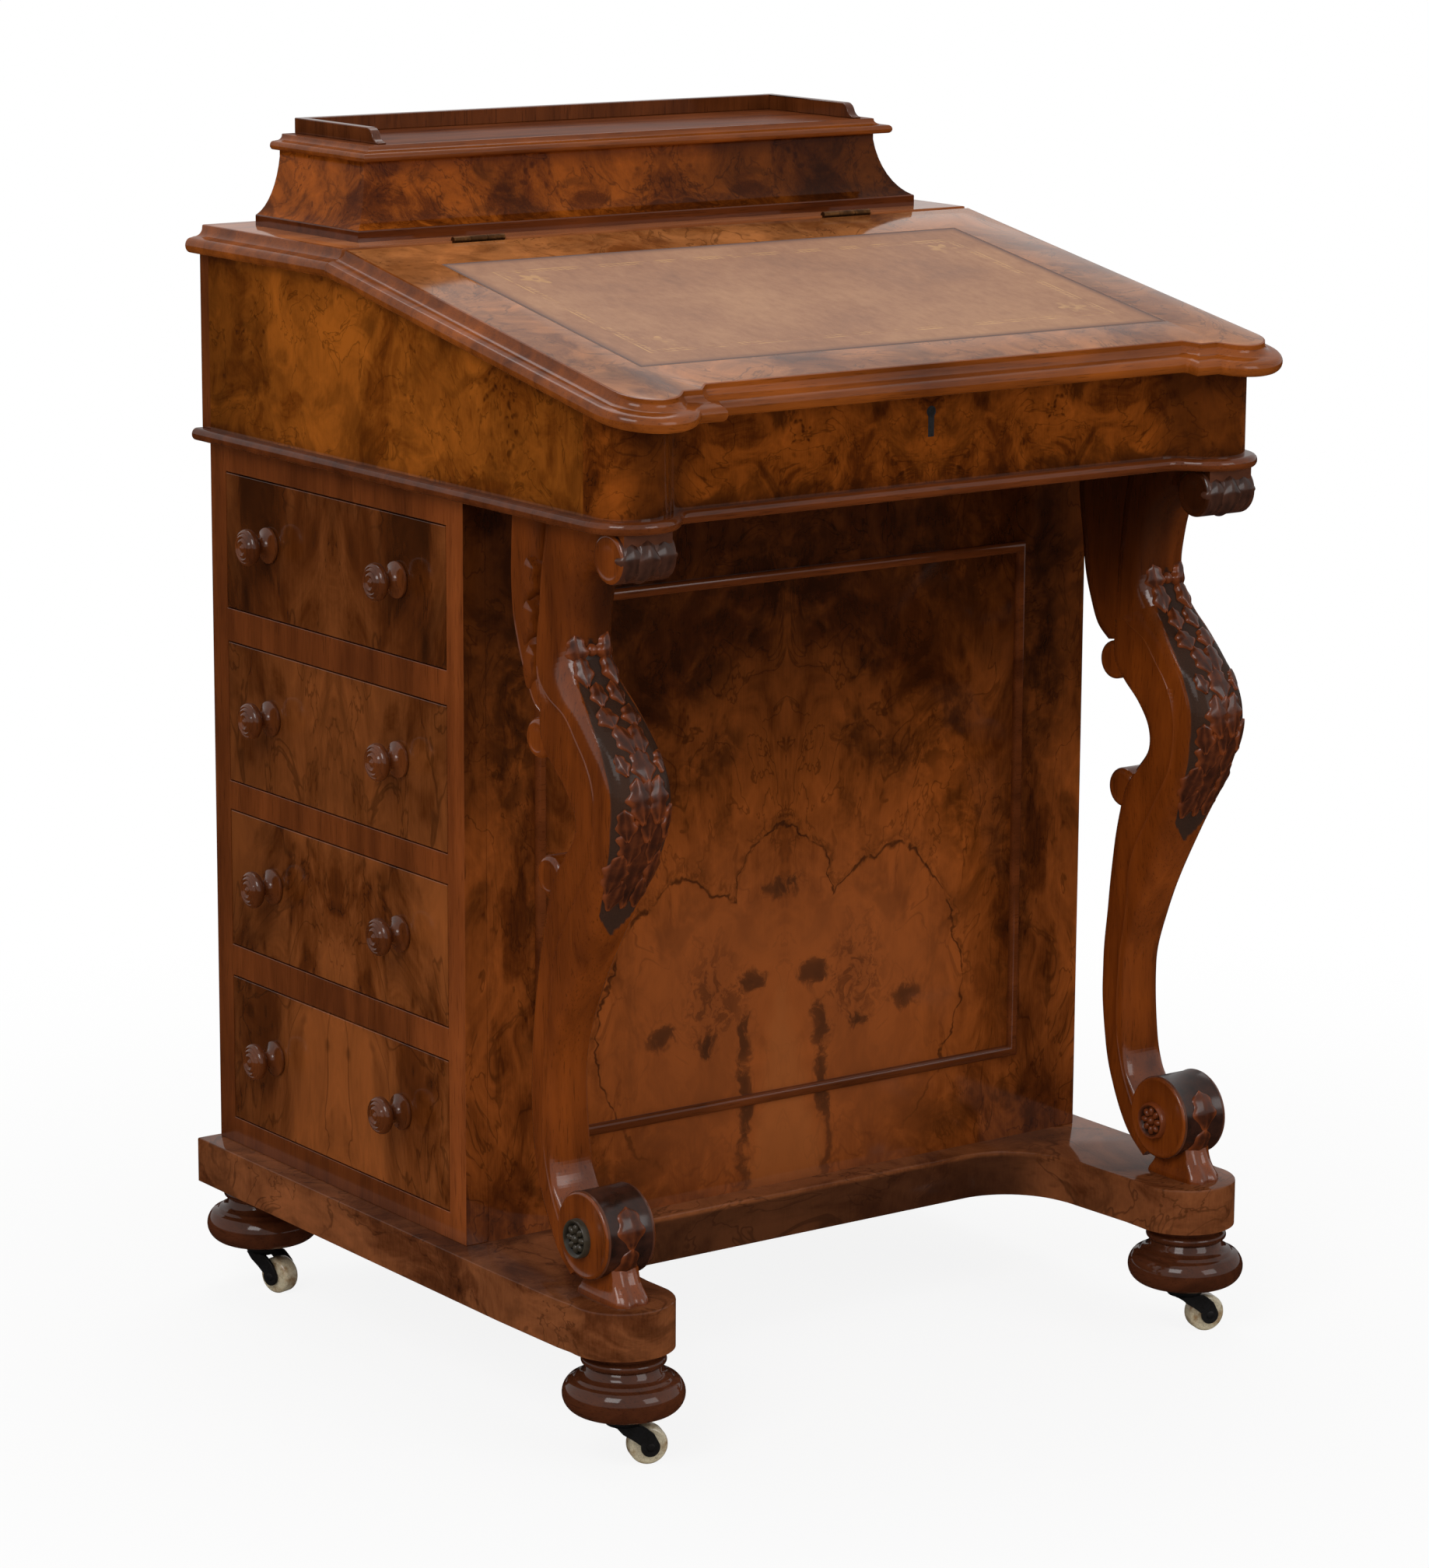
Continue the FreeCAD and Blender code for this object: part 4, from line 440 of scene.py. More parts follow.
def shaded_drawers(finish, colour):
    """Drawer fronts are darker towards the back, and painted shade darkens the top one all over."""
    _, y, z = finish.axes()
    drift = finish.noise(finish.place, 7, 3.0)
    back = finish.band(y + drift * 0.12, 0.16, 0.30)
    # painted shade over the top drawer
    upper = finish.band(z + drift * 0.08, 0.36, 0.44)
    return finish.mix(finish.most(back, upper * 0.6) * 0.42, colour, tone(42, 19, 6))


def shaded_box(finish, colour):
    """The writing box's sides darken towards both ends; at the front end this is painted shade."""
    _, y, _ = finish.axes()
    along = y + finish.noise(finish.place, 16, 4.0, 0.6) * 0.16
    # painted shade at the front end, by the rounded corner; a plain darkening towards the back end
    ends = finish.most(finish.band(along, 0.00, -0.17) * 0.8, finish.band(along, 0.22, 0.33))
    return finish.mix(ends * 0.5, colour, tone(44, 19, 4))


def painted_shade_by_lobes(finish, colour):
    """Painted shade on the writing box's front, on the inner side of its rounded corners."""
    x, _, _ = finish.axes()
    drift = finish.noise(finish.place, 30, 4.0, 0.6)
    lobe = finish.band(abs(abs(x) + drift * 0.03 - 0.245), 0.042, 0.018)
    # painted shade beside each rounded corner
    return finish.mix(lobe * 0.62, colour, tone(38, 15, 5))


def painted_shade_to_right(finish, colour):
    """Painted shade on the stationery box's veneer, deepening towards the sitter's right."""
    x, _, _ = finish.axes()
    drift = finish.noise(finish.place, 14, 4.0, 0.6)
    # painted shade towards the right
    return finish.mix(finish.band(x + drift * 0.2, 0.06, 0.26) * 0.72, colour, tone(34, 14, 5))


def painted_shade_on_supports(finish, colour):
    """Painted shade on the supports under the box, strongest on their inner sides."""
    x, _, z = finish.axes()
    inner = finish.band(abs(x), 0.262, 0.235, 0.25, 1.0)
    # painted shade, deepening upwards towards the box
    return finish.mix(finish.band(z, 0.46, 0.61) * inner * 0.86, colour, tone(32, 14, 6))


def shaded_frame(finish, colour):
    """The drawer rails are darker than the stile at the desk's front."""
    _, y, _ = finish.axes()
    return finish.mix(finish.band(y, -0.035, 0.0) * 0.36, colour, tone(40, 18, 6))


def painted_shade_between_arms(finish, colour):
    """Painted shade on the platform's edge between its arms, under the pedestal."""
    x, y, z = finish.axes()
    between_arms = finish.band(abs(x), 0.215, 0.18) * finish.band(y, -0.02, -0.08)
    edge = finish.band(z, 0.114, 0.111)
    # painted shade under the pedestal
    return finish.mix(between_arms * edge * 0.72, colour, tone(40, 22, 14))


FINISHES = {
    "side_burr": burr_veneer(
        "burr_writing_box_side", tone(74, 33, 6), tone(112, 55, 11), tone(142, 76, 20), 3.1,
        shade=shaded_box, smoky=0.38),
    "front_burr": burr_veneer(
        "burr_writing_box_front", tone(42, 16, 3), tone(84, 37, 6), tone(122, 60, 15), 7.7,
        fold=(0, 0.0), shade=painted_shade_by_lobes),
    "box_burr": burr_veneer(
        "burr_stationery_box", tone(54, 20, 4), tone(102, 46, 9), tone(150, 76, 20), 5.5,
        fold=(0, 0.03), knots=0.4, shine=0.16, shade=painted_shade_to_right),
    # the lid border's burr: its own figure, made lighter and pinker with painted sheen
    "top_burr_with_sheen": burr_veneer(
        "burr_lid_border_painted_sheen", tone(84, 42, 18), tone(124, 70, 34), tone(158, 98, 54), 1.4,
        scale=0.8, knots=0.3, smoky=0.4),
    "pedestal_burr": burr_veneer(
        "burr_pedestal_front", tone(52, 21, 5), tone(92, 42, 11), tone(128, 64, 22), 4.6,
        fold=(0, 0.0), stretch=(1, 1, 0.6), streak=0.35, shade=book_matched, knots=0.4),
    "drawer_burr": burr_veneer(
        "burr_drawer_fronts", tone(56, 25, 7), tone(94, 45, 14), tone(128, 69, 30), 2.3,
        scale=0.7, fold=(1, 0.097), stretch=(1, 1, 0.5), streak=0.3, shade=shaded_drawers,
        knots=0.4, smoky=0.42),
    "base_burr": burr_veneer(
        "burr_base", tone(52, 25, 12), tone(92, 48, 24), tone(122, 70, 39), 9.2, knots=0.3,
        stretch=(0.5, 0.5, 1), shade=painted_shade_between_arms, shine=0.42, smoky=0.4),
    "frame_walnut": straight_walnut(
        "walnut_frame", tone(92, 42, 14), tone(148, 76, 32), 1.0, haze=0.14, shade=shaded_frame),
    "moulding_walnut": straight_walnut(
        "walnut_mouldings", tone(86, 39, 10), tone(158, 82, 26), 2.0, along=0, gloss=0.1,
        shine=0.55, haze=0.14),
    # the level top's walnut is lighter and pinker than the mouldings: painted sheen in its colour
    "level_walnut_with_sheen": straight_walnut(
        "walnut_level_top_painted_sheen", tone(130, 68, 34), tone(194, 120, 72), 2.6, along=0, gloss=0.12),
    "box_walnut": straight_walnut(
        "walnut_stationery_lid", tone(74, 33, 14), tone(124, 66, 34), 2.9, along=0, gloss=0.12,
        shine=0.25, haze=0.2),
    "support_walnut": straight_walnut(
        "walnut_scroll_supports", tone(80, 34, 8), tone(138, 66, 18), 3.0, haze=0.15,
        shade=painted_shade_on_supports),
    "leaf_carving": carved_walnut(
        "walnut_carved_leaves", tone(66, 31, 16), tone(128, 62, 28), tone(32, 18, 12), 1.2),
    "dark_carving": carved_walnut(
        "walnut_dark_carving", tone(50, 29, 21), tone(84, 50, 36), tone(28, 18, 14), 2.2),
    "dark_ground": carved_walnut(
        "walnut_shadowed_ground", tone(60, 33, 23), tone(92, 52, 34), tone(34, 20, 15), 3.2),
    "rosette_walnut": carved_walnut(
        "walnut_black_rosettes", tone(38, 32, 25), tone(66, 58, 46), tone(20, 17, 13), 4.2),
    "foot_walnut": straight_walnut(
        "walnut_feet", tone(50, 25, 14), tone(92, 48, 27), 8.0, along=1, gloss=0.05, shine=0.6),
    "turned_walnut": straight_walnut(
        "walnut_turned", tone(64, 29, 11), tone(116, 60, 27), 4.0, shine=0.75),
    "dark_walnut": straight_walnut(
        "walnut_dark_moulding", tone(64, 28, 10), tone(116, 58, 25), 5.0, along=0, shine=0.6),
    "lining": straight_walnut(
        "lining_cedar", tone(134, 92, 56), tone(176, 132, 88), 6.0, along=0, gloss=0.35,
        shine=0.2),
    "leather": skiver_leather(),
    "brass": plain_metal("old_brass", tone(196, 152, 78), tone(110, 78, 36), 0.28),
    "hinge_brass": plain_metal("darkened_hinge_brass", tone(98, 64, 34), tone(58, 36, 20), 0.42),
    "steel": plain_metal("lock_steel", tone(150, 146, 138), tone(74, 66, 58), 0.3),
    "iron": plain_metal("black_castor_iron", tone(46, 44, 44), tone(26, 22, 20), 0.38, 0.7),
    "ceramic": castor_ceramic(),
}

# ---------------------------------------------------------------- making pieces


def joiner(*places):
    """A place in millimetres as a vector in metres."""
    return Vector(places) * MM


def linked(name, data):
    """A new object in the scene."""
    item = bpy.data.objects.new(name, data)
    bpy.context.scene.collection.objects.link(item)
    return item


def meshed(name, work):
    """Ends a bmesh as a mesh."""
    mesh = bpy.data.meshes.new(name)
    work.to_mesh(mesh)
    work.free()
    return mesh


def finished(name, work, finish, body, replaced=(), crease=38.0, soften=0.0):
    """Makes the bmesh a named piece at the origin that rides on its body.

    Edges sharper than the crease's degrees stay sharp, or are rounded by soften.
    """
    for face in work.faces:
        face.smooth = True
    sharp = math.radians(crease)
    for edge in work.edges:
        edge.smooth = len(edge.link_faces) == 2 and edge.calc_face_angle() < sharp
    mesh = meshed(name, work)
    item = linked(name, mesh)
    for one in (finish if isinstance(finish, tuple) else (finish,)):
        mesh.materials.append(FINISHES[one])
    if soften:
        edges = item.modifiers.new("softened_edges", "BEVEL")
        edges.width = soften * MM
        edges.segments = 2
        edges.limit_method = "ANGLE"
        edges.angle_limit = math.radians(crease)
        edges.harden_normals = True
    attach(item, body)
    if replaced:
        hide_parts(*replaced)


def from_node(node):
    """A merged copy of a CAD node's mesh with its flat faces made whole."""
    work = bmesh.new()
    work.from_mesh(nodes[node].data)
    bmesh.ops.remove_doubles(work, verts=work.verts, dist=0.00002)
    bmesh.ops.dissolve_limit(
        work, angle_limit=math.radians(0.6), verts=work.verts, edges=work.edges)
    return work


SOFTENED = (
    # node, finish, slot, rounding of its edges in millimetres
    ("pedestal_front_panel", "pedestal_burr", "burr_veneer", 0.0),
    ("pedestal_back_panel", "frame_walnut", "solid_walnut", 0.0),
    ("front_panel_moulding", "dark_walnut", "solid_walnut", 0.0),
    ("pedestal_left_side", "frame_walnut", "solid_walnut", 0.5),
    ("dummy_drawer_fronts", "drawer_burr", "burr_veneer", 0.6),
    ("drawer_opening_frame", "frame_walnut", "solid_walnut", 0.5),
    ("writing_box_left_side", "side_burr", "burr_veneer", 0.0),
    ("writing_box_right_side", "side_burr", "burr_veneer", 0.0),
    ("writing_box_back", "frame_walnut", "solid_walnut", 0.4),
    ("writing_box_front", "front_burr", "burr_veneer", 0.0),
    ("writing_box_bead", "dark_walnut", "solid_walnut", 0.0),
    ("stationery_plinth", "dark_walnut", "solid_walnut", 0.0),
    ("stationery_box_front", "box_burr", "burr_veneer", 0.0),
    ("stationery_box_ends", "box_burr", "burr_veneer", 0.0),
    ("stationery_gallery", "turned_walnut", "solid_walnut", 0.8),
)
DRAWERS = ("one", "two", "three", "four")
for drawer in DRAWERS:
    SOFTENED += (("drawer_%s_front" % drawer, "drawer_burr", "burr_veneer", 0.6),
                 ("drawer_%s_box" % drawer, "lining", "lining_wood", 0.5))
KEPT = (
    # CAD nodes shown as they are, with the finish they get
    ("drawer_runners", "lining"), ("writing_box_bottom", "lining"),
    ("stationery_box_back", "frame_walnut"), ("stationery_partitions", "lining"),
    ("writing_skiver", "leather"), ("castor_sockets", "iron"),
    ("slope_lock_case", "brass"), ("slope_lock_bolt", "steel"), ("slope_lock_strike", "brass"),
    ("stationery_lock_case", "brass"), ("stationery_lock_bolt", "steel"),
    ("stationery_lock_strike", "brass"), ("slope_hinge_leaves", "hinge_brass"),
    ("slope_lid_hinge_leaves", "hinge_brass"), ("stationery_hinge_leaves", "hinge_brass"),
    ("stationery_lid_hinge_leaves", "hinge_brass"),
)

for node, finish, slot, soften in SOFTENED:
    work = from_node(node)
    if node in ("pedestal_left_side", "drawer_opening_frame"):
        # the board's end shows at the pedestal's front, and is veneered with it
        for face in work.faces:
            face.material_index = (face.normal.y < -0.9
                                   and face.calc_center_median().y < (FRONT_PLANE + 1.25) * MM)
        finish = (finish, "pedestal_burr")
    finished(node + "_polished", work, finish, body_of_node[node], (node,), soften=soften)
for node, finish in KEPT:
    nodes[node].data.materials.clear()
    nodes[node].data.materials.append(FINISHES[finish])

# ---------------------------------------------------------------- turning and lofting


def added(work, other, *turns):
    """Puts a copy of another bmesh, moved by the matrices, into this one."""
    matrix = Matrix.Identity(4)
    for turn in turns:
        matrix = matrix @ turn
    mesh = bpy.data.meshes.new("part")
    other.to_mesh(mesh)
    mesh.transform(matrix)
    work.from_mesh(mesh)
    bpy.data.meshes.remove(mesh)


def set_in(work, other, *turns):
    """Moves another bmesh into this one for good."""
    added(work, other, *turns)
    other.free()


def moved(x, y, z):
    return Matrix.Translation(joiner(x, y, z))


def swung(angle, axis="Z"):
    """A turn by so many degrees about an axis."""
    return Matrix.Rotation(math.radians(angle), 4, axis)


def along_x(side):
    """Turns a piece made about Z so that its top points along X, to the side given."""
    return swung(90 * side, "Y")


def placed(work, matrix):
    bmesh.ops.transform(work, verts=work.verts, matrix=matrix)
    return work


def verts_of(made):
    return [item for item in made if isinstance(item, bmesh.types.BMVert)]


def plate(outline, push):
    """A flat plate: a face through the outline's places, pushed out to its thickness."""
    work = bmesh.new()
    bmesh.ops.create_circle(work, cap_ends=True, segments=len(outline), radius=0.01)
    face = work.faces[:][0]
    for vert, place in zip(list(face.verts), outline):
        vert.co = joiner(*place)
    face.normal_update()
    made = bmesh.ops.extrude_face_region(work, geom=[face])["geom"]
    bmesh.ops.translate(work, vec=joiner(*push), verts=verts_of(made))
    bmesh.ops.recalc_face_normals(work, faces=work.faces)
    return work


def turned(profile, steps=48):
    """A piece turned about Z from its outline of (radius, height)."""
    work = bmesh.new()
    verts = [work.verts.new(joiner(radius, 0, height)) for radius, height in profile]
    edges = [work.edges.new(pair) for pair in zip(verts, verts[1:])]
    bmesh.ops.spin(work, geom=verts + edges, cent=(0, 0, 0), axis=(0, 0, 1), dvec=(0, 0, 0),
                   angle=2 * math.pi, steps=steps, use_merge=True)
    bmesh.ops.remove_doubles(work, verts=work.verts, dist=2e-6)
    bmesh.ops.recalc_face_normals(work, faces=work.faces)
    return work


def cut_away(work, place, normal):
    """Cuts off what lies beyond a plane and closes the cut."""
    cut = bmesh.ops.bisect_plane(
        work, geom=work.verts[:] + work.edges[:] + work.faces[:], dist=1e-7,
        plane_co=joiner(*place), plane_no=normal, clear_outer=True)["geom_cut"]
    bmesh.ops.holes_fill(work, edges=[item for item in cut if isinstance(item, bmesh.types.BMEdge)])


def block(low, high):
    """A plain block between two corners."""
    size = joiner(*(b - a for a, b in zip(low, high)))
    middle = joiner(*((a + b) / 2 for a, b in zip(low, high)))
    work = bmesh.new()
    bmesh.ops.create_cube(work, size=1)
    bmesh.ops.scale(work, vec=size, verts=work.verts)
    bmesh.ops.translate(work, vec=middle, verts=work.verts)
    return work


def arc(middle, radius, start, end, steps=8):
    """Places on an arc in a turned outline, angles in degrees."""
    return [(middle[0] + radius * math.cos(math.radians(start + (end - start) * n / steps)),
             middle[1] + radius * math.sin(math.radians(start + (end - start) * n / steps)))
            for n in range(steps + 1)]


def lofted(rings):
    """A solid drawn through rings of (place, mark): the first ring's face is extruded on."""
    work = bmesh.new()
    layer = work.verts.layers.float.new("carved")
    bmesh.ops.create_circle(work, cap_ends=True, segments=len(rings[0]), radius=0.01)
    cap = work.faces[:][0]
    around = list(cap.verts)
    for vert, (place, mark) in zip(around, rings[0]):
        vert.co = place
        vert[layer] = mark
    for ring in rings[1:]:
        made = bmesh.ops.extrude_face_region(work, geom=[cap])["geom"]
        cap = next(item for item in made if isinstance(item, bmesh.types.BMFace))
        fresh = list(cap.verts)
        start = min(range(len(fresh)), key=lambda n: (fresh[n].co - around[0].co).length)
        step = 1 if (fresh[(start + 1) % len(fresh)].co - around[1].co).length < 1e-7 else -1
        around = [fresh[(start + step * n) % len(fresh)] for n in range(len(fresh))]
        for vert, (place, mark) in zip(around, ring):
            vert.co = place
            vert[layer] = mark
    bmesh.ops.recalc_face_normals(work, faces=work.faces)
    return work


def between(rows, place):
    """A row of numbers at a fractional place in a list of rows, on a smooth curve."""
    last = len(rows) - 1
    first = min(int(place), last - 1)
    share = place - first
    near = [rows[max(0, min(last, first + step))] for step in (-1, 0, 1, 2)]
    return [q + 0.5 * share * (r - p + share * (
        2 * p - 5 * q + 4 * r - s + share * (3 * (q - r) + s - p))) for p, q, r, s in zip(*near)]


# ---------------------------------------------------------------- scrolled supports

SUPPORT_CENTRE = 250.0
# the supports stand this much closer together above their lower curve, by height
DRAWN_IN = 3.2
DRAWN_FROM, DRAWN_TO = 300, 400
# Rungs are the rows that a scroll is drawn through, from the bottom up:
# back edge (depth, height), front edge (depth, height), half width, arris from the back
# edge; depths are from the pedestal's front
SCROLL_RUNGS = (
    (-121, 126, -142, 140, 18.5, 14), (-111, 133.5, -136, 147, 18.5, 16),
    (-103, 141, -130, 152, 18.5, 18), (-96.5, 150, -126, 159, 18.5, 19),
    (-91, 160, -120, 165, 18.6, 20), (-85.5, 172, -111.5, 176, 18.6, 19),
    (-81, 184, -105, 185, 18.3, 18.5), (-76.5, 198, -101.5, 198, 17.9, 18.5),
    (-73, 214, -100.5, 213, 17.5, 18.5), (-70, 235, -99, 234, 17.0, 20),
    (-69.5, 255, -98.5, 254, 16.6, 21), (-70, 272, -100, 270, 16.5, 21.5),
    (-72.5, 292, -106, 288, 16.7, 22.5), (-76.5, 316, -117, 313, 17.5, 23.5),
    (-81, 336, -128.5, 335, 18.6, 22), (-86.5, 357, -140, 356, 20.0, 26),
    (-93, 376, -152, 378, 21.4, 33), (-101, 395, -163, 397, 23.0, 38),
    (-115, 412, -174, 418, 24.2, 37), (-128, 428, -182.5, 436, 25.0, 29),
    (-127.5, 445, -186.5, 452, 25.4, 31), (-116, 461, -185, 468.5, 25.4, 40),
    (-100, 474, -177.5, 484, 25.0, 48), (-89, 486, -164, 498.5, 24.6, 47),
    (-86.5, 497, -146.5, 514.6, 24.2, 37), (-87, 511, -132, 529, 23.6, 16),
    (-87.5, 529, -121, 544, 23.0, 2), (-87.5, 552, -118.5, 559, 22.6, 1),
    (-89.5, 573, -121, 574, 22.0, 1), (-91.5, 595, -127, 594, 22.0, 1),
    (-95, 612, -137, 606, 22.2, 1), (-98, 625, -150, 616, 22.4, 1),
    (-99, 634, -164, 634, 22.6, 1),
)
# the raised wing up the outer side, behind the body
WING_RUNGS = (
    (-84, 502, -93, 499, 15.0, 1), (-76, 509, -89, 508, 17.5, 1), (-68.5, 526, -84, 524, 19.0, 1),
    (-62.5, 543, -80, 542, 20.0, 1), (-57, 565, -78, 565, 20.8, 1),
    (-55.5, 590, -79, 590, 21.4, 1), (-56.5, 612, -81, 612, 21.8, 1),
    (-58, 634, -83, 634, 22.0, 1),
)
# the plain inner cheek that joins the wing to the body
CHEEK_RUNGS = (
    (-72.5, 499, -125, 508, 17, 1), (-65, 510, -118, 522, 21, 1), (-58.5, 528, -112, 540, 22.6, 1),
    (-52, 548, -110, 556, 22.6, 1), (-47.5, 575, -112, 574, 22.2, 1),
    (-43.5, 600, -118, 600, 22.3, 1), (-43, 634, -135, 634, 22.8, 1),
)
# the foot under the lower roll: height, half width, back, front
FOOT_RUNGS = (
    (PLATFORM_TOP, 14.6, -120, -177), (118.5, 14.4, -121, -176.4), (121.5, 13.6, -123.5, -174.5),
    (125, 12.8, -126, -171.5), (130, 12.3, -128, -168), (138, 12.2, -130, -165),
    (148, 12.2, -131, -163),
)
# the share of the half width that the carved ground takes, by height
GROUND_SHARE = (
    (362, 0.0), (372, 0.50), (378, 0.66), (395, 0.76), (415, 0.86), (440, 0.93), (480, 0.93),
    (505, 0.84), (530, 0.68), (548, 0.52), (556, 0.0))
GROUND_DEPTH = 1.5
# the depth and height of the rolls at the scroll's foot and head, and of the rosettes
ROLL_PLACE = (-141.2, 159.3)
HEAD_PLACE = (-168.5, 617.5)
ROSETTE_PLACE = (-138, 157)
KNEE_LEAVES = (
    # height, place across as a share of the half width, turn, length, width, crown, lobes
    (560, 0.56, 6, 20, 15, 3.0, 1), (546, 0.46, -2, 22, 13, 2.8, 1),
    (530, 0.24, -8, 18, 12, 2.2, 1), (516, 0.44, 8, 17, 15, 2.6, 1),
    (505, 0.30, 10, 24, 15, 2.8, 1), (490, 0.66, 10, 16, 10, 2.0, 1),
    (492, 0.0, 0, 24, 20, 2.8, 1), (476, 0.34, 6, 30, 18, 2.8, 2), (474, 0.0, 0, 40, 22, 3.2, 2),
    (456, 0.72, 10, 22, 14, 2.2, 1), (448, 0.40, 2, 34, 20, 2.6, 2), (440, 0.0, 0, 62, 22, 2.8, 2),
    (424, 0.58, -4, 34, 16, 2.2, 2), (404, 0.36, -6, 26, 15, 2.0, 1),
)
# the wing's husks: height, depth, length
HUSKS = ((606, -77, 32), (577, -76, 31), (548, -79, 30))
# the fullness of the scroll's rounded front: 1 is a half round, and less is squarer
FULLNESS = 0.62


def half_section(half, arris, deep, plain=False):
    """Half of the scroll's section: (distance from the back edge, half width).

    The outer side has a hollow behind its arris; the plain inner side has less of one.
    """
    share = min(1.0, deep / 26 if plain else arris / 20)
    hollow = 0.8 * max(0.0, min(1.0, (arris - 12) / 6)) if plain else 1.0
    flat = 1 - hollow
    crown = deep - arris - 1.2
    points = [(0, 0), (0, half * 0.45), (0, half - 8 * share - 1),
              (1.6 * share, half - 4 * share - 0.6), (5 * share, half - 1.2 * share - 0.3),
              (9 * share, half - 0.3 - 0.5 * hollow)]
    if plain and arris < 12:
        points = points[:4] + [(4 * share, half - 1.6), (7 * share, half - 0.7)]
        arris = 9.0 * share
        crown = deep - arris - 1.2
    points += [(arris * 0.66 + 3 * flat, half - 1.9 * hollow),
               (arris * 0.86 + 1.4 * flat, half - 2.0 * hollow),
               (arris - 0.7 * share * hollow, half - 0.9 * hollow),
               (arris + 0.1, half + 0.4 * hollow), (arris + 0.9, half - 0.2)]
    for step in range(1, 17):
        turn = math.radians(90 * step / 16)
        points.append((arris + 1.2 + crown * math.sin(turn) ** FULLNESS,
                       (half - 0.3) * max(0.0, math.cos(turn)) ** FULLNESS))
    return points


def ground_share(height):
    """How much of the half width is carved ground at a height; 0 where there is none."""
    for (low, first), (high, second) in zip(GROUND_SHARE, GROUND_SHARE[1:]):
        if low <= height <= high:
            return first + (second - first) * (height - low) / (high - low)
    return 0.0


def across_rung(row):
    """A rung's back and front edges, its depth and the way from back to front."""
    back, front = Vector((0, row[0], row[1])), Vector((0, row[2], row[3]))
    deep = (front - back).length
    return back, front, deep, (front - back) / deep


def support_ring(row, centre):
    """One closed ring of a support: places on the desk, marked where the ground is carved."""
    back, _, deep, ahead = across_rung(row)
    outer = math.copysign(1, centre)
    drawn = (row[1] - DRAWN_FROM) / (DRAWN_TO - DRAWN_FROM)
    middle = centre - outer * DRAWN_IN * max(0.0, min(1.0, drawn))
    ring = []
    for side, whole in ((1, True), (-1, False)):
        plain = side != outer
        points = half_section(row[4], row[5], deep, plain)
        for out, width in (points if whole else points[-2:0:-1]):
            if plain:
                # the inner side's back corner stands further back
                out -= 4.5 * width / row[4] * max(0.0, 1 - out / 9)
            place = back + ahead * out
            share = ground_share(place.z)
            inside = row[4] * share - width
            mark = max(0.0, min(1.0, inside / 1.6 + 0.5, (out - deep + 13) / 2)) if share else 0.0
            place -= ahead * mark * GROUND_DEPTH
            ring.append((joiner(middle + side * width, place.y + FRONT_PLANE, place.z), mark))
    return ring


def rings_of(rungs, count, centre):
    last = len(rungs) - 1
    return [support_ring(between(rungs, last * n / count), centre) for n in range(count + 1)]


def roll_side(half, radius, edge, rim, sunk=0.3):
    """Half of a scroll's roll as a turned outline: a face with a sunk ring, and a soft rim."""
    return [(0, half), (radius * 0.42, half), (radius * 0.5, half - sunk),
            (radius - rim - edge, half - sunk), (radius - rim * 0.3 - edge, half)] + arc(
                (radius - edge, half - edge), edge, 90, 0)


def roll(half, radius, edge, centre, depth, height, rim):
    """A whole roll lying along X at a place on the desk."""
    side = roll_side(half, radius, edge, rim)
    return placed(turned(side + [(r, -h) for r, h in reversed(side)], 72),
                  moved(centre, depth + FRONT_PLANE, height) @ along_x(1))


def leaf(length, width, crown, lobes, curl=0.0):
    """A carved leaf along +Y with a raised rib and scalloped edges, flat underneath."""
    work = bmesh.new()
    bmesh.ops.create_grid(work, x_segments=10, y_segments=20, size=0.5)
    for vert in work.verts:
        along = vert.co.y + 0.5
        over = vert.co.x * 2
        swell = math.sin(math.pi * (along * 0.95 + 0.03) ** 0.82) ** 0.8
        scallop = 1 + 0.17 * math.sin(2 * math.pi * (lobes + 1) * along + 0.6)
        rise = crown * (1 - over ** 2) ** 0.35 * (0.45 + 0.55 * swell)
        rise += crown * 0.16 * math.exp(-(over * 4) ** 2)
        rise -= crown * 0.22 * abs(math.sin(math.pi * lobes * along)) * abs(over)
        vert.co = joiner(over * width / 2 * swell * scallop,
                         along * length + abs(over) * length * 0.07, rise + curl * along ** 2)
    made = bmesh.ops.extrude_face_region(work, geom=work.faces[:])["geom"]
    for vert in verts_of(made):
        vert.co.z -= (crown + 2.0) * MM
    bmesh.ops.recalc_face_normals(work, faces=work.faces)
    return work


# fine rungs of the scroll, of which the upper half carries the knee's leaves
FINE = 400
KNEE_ROWS = [between(SCROLL_RUNGS, (len(SCROLL_RUNGS) - 1) * n / FINE) for n in range(FINE + 1)]


def knee_basis(height, over):
    """A place on the scroll's front and the way out of the wood there."""
    number = min(range(FINE // 2, FINE), key=lambda n: abs(KNEE_ROWS[n][3] - height))
    row, after = KNEE_ROWS[number], KNEE_ROWS[number + 1]
    back, front, deep, ahead = across_rung(row)
    outline = half_section(row[4], row[5], deep)[10:]
    target = abs(over) * row[4]
    side = math.copysign(1, over)
    (out_a, wide_a), (out_b, wide_b) = next(
        pair for pair in zip(outline, outline[1:]) if pair[1][1] <= target + 0.001)
    share = (wide_a - target) / (wide_a - wide_b)
    place = back + ahead * (out_a + (out_b - out_a) * share) + Vector((side * target, 0, 0))
    up = (Vector((0, after[2], after[3])) - front).normalized()
    normal = Vector((side * (out_b - out_a), 0, 0)) + ahead * (wide_a - wide_b)
    return place, (normal - up * normal.dot(up)).normalized()


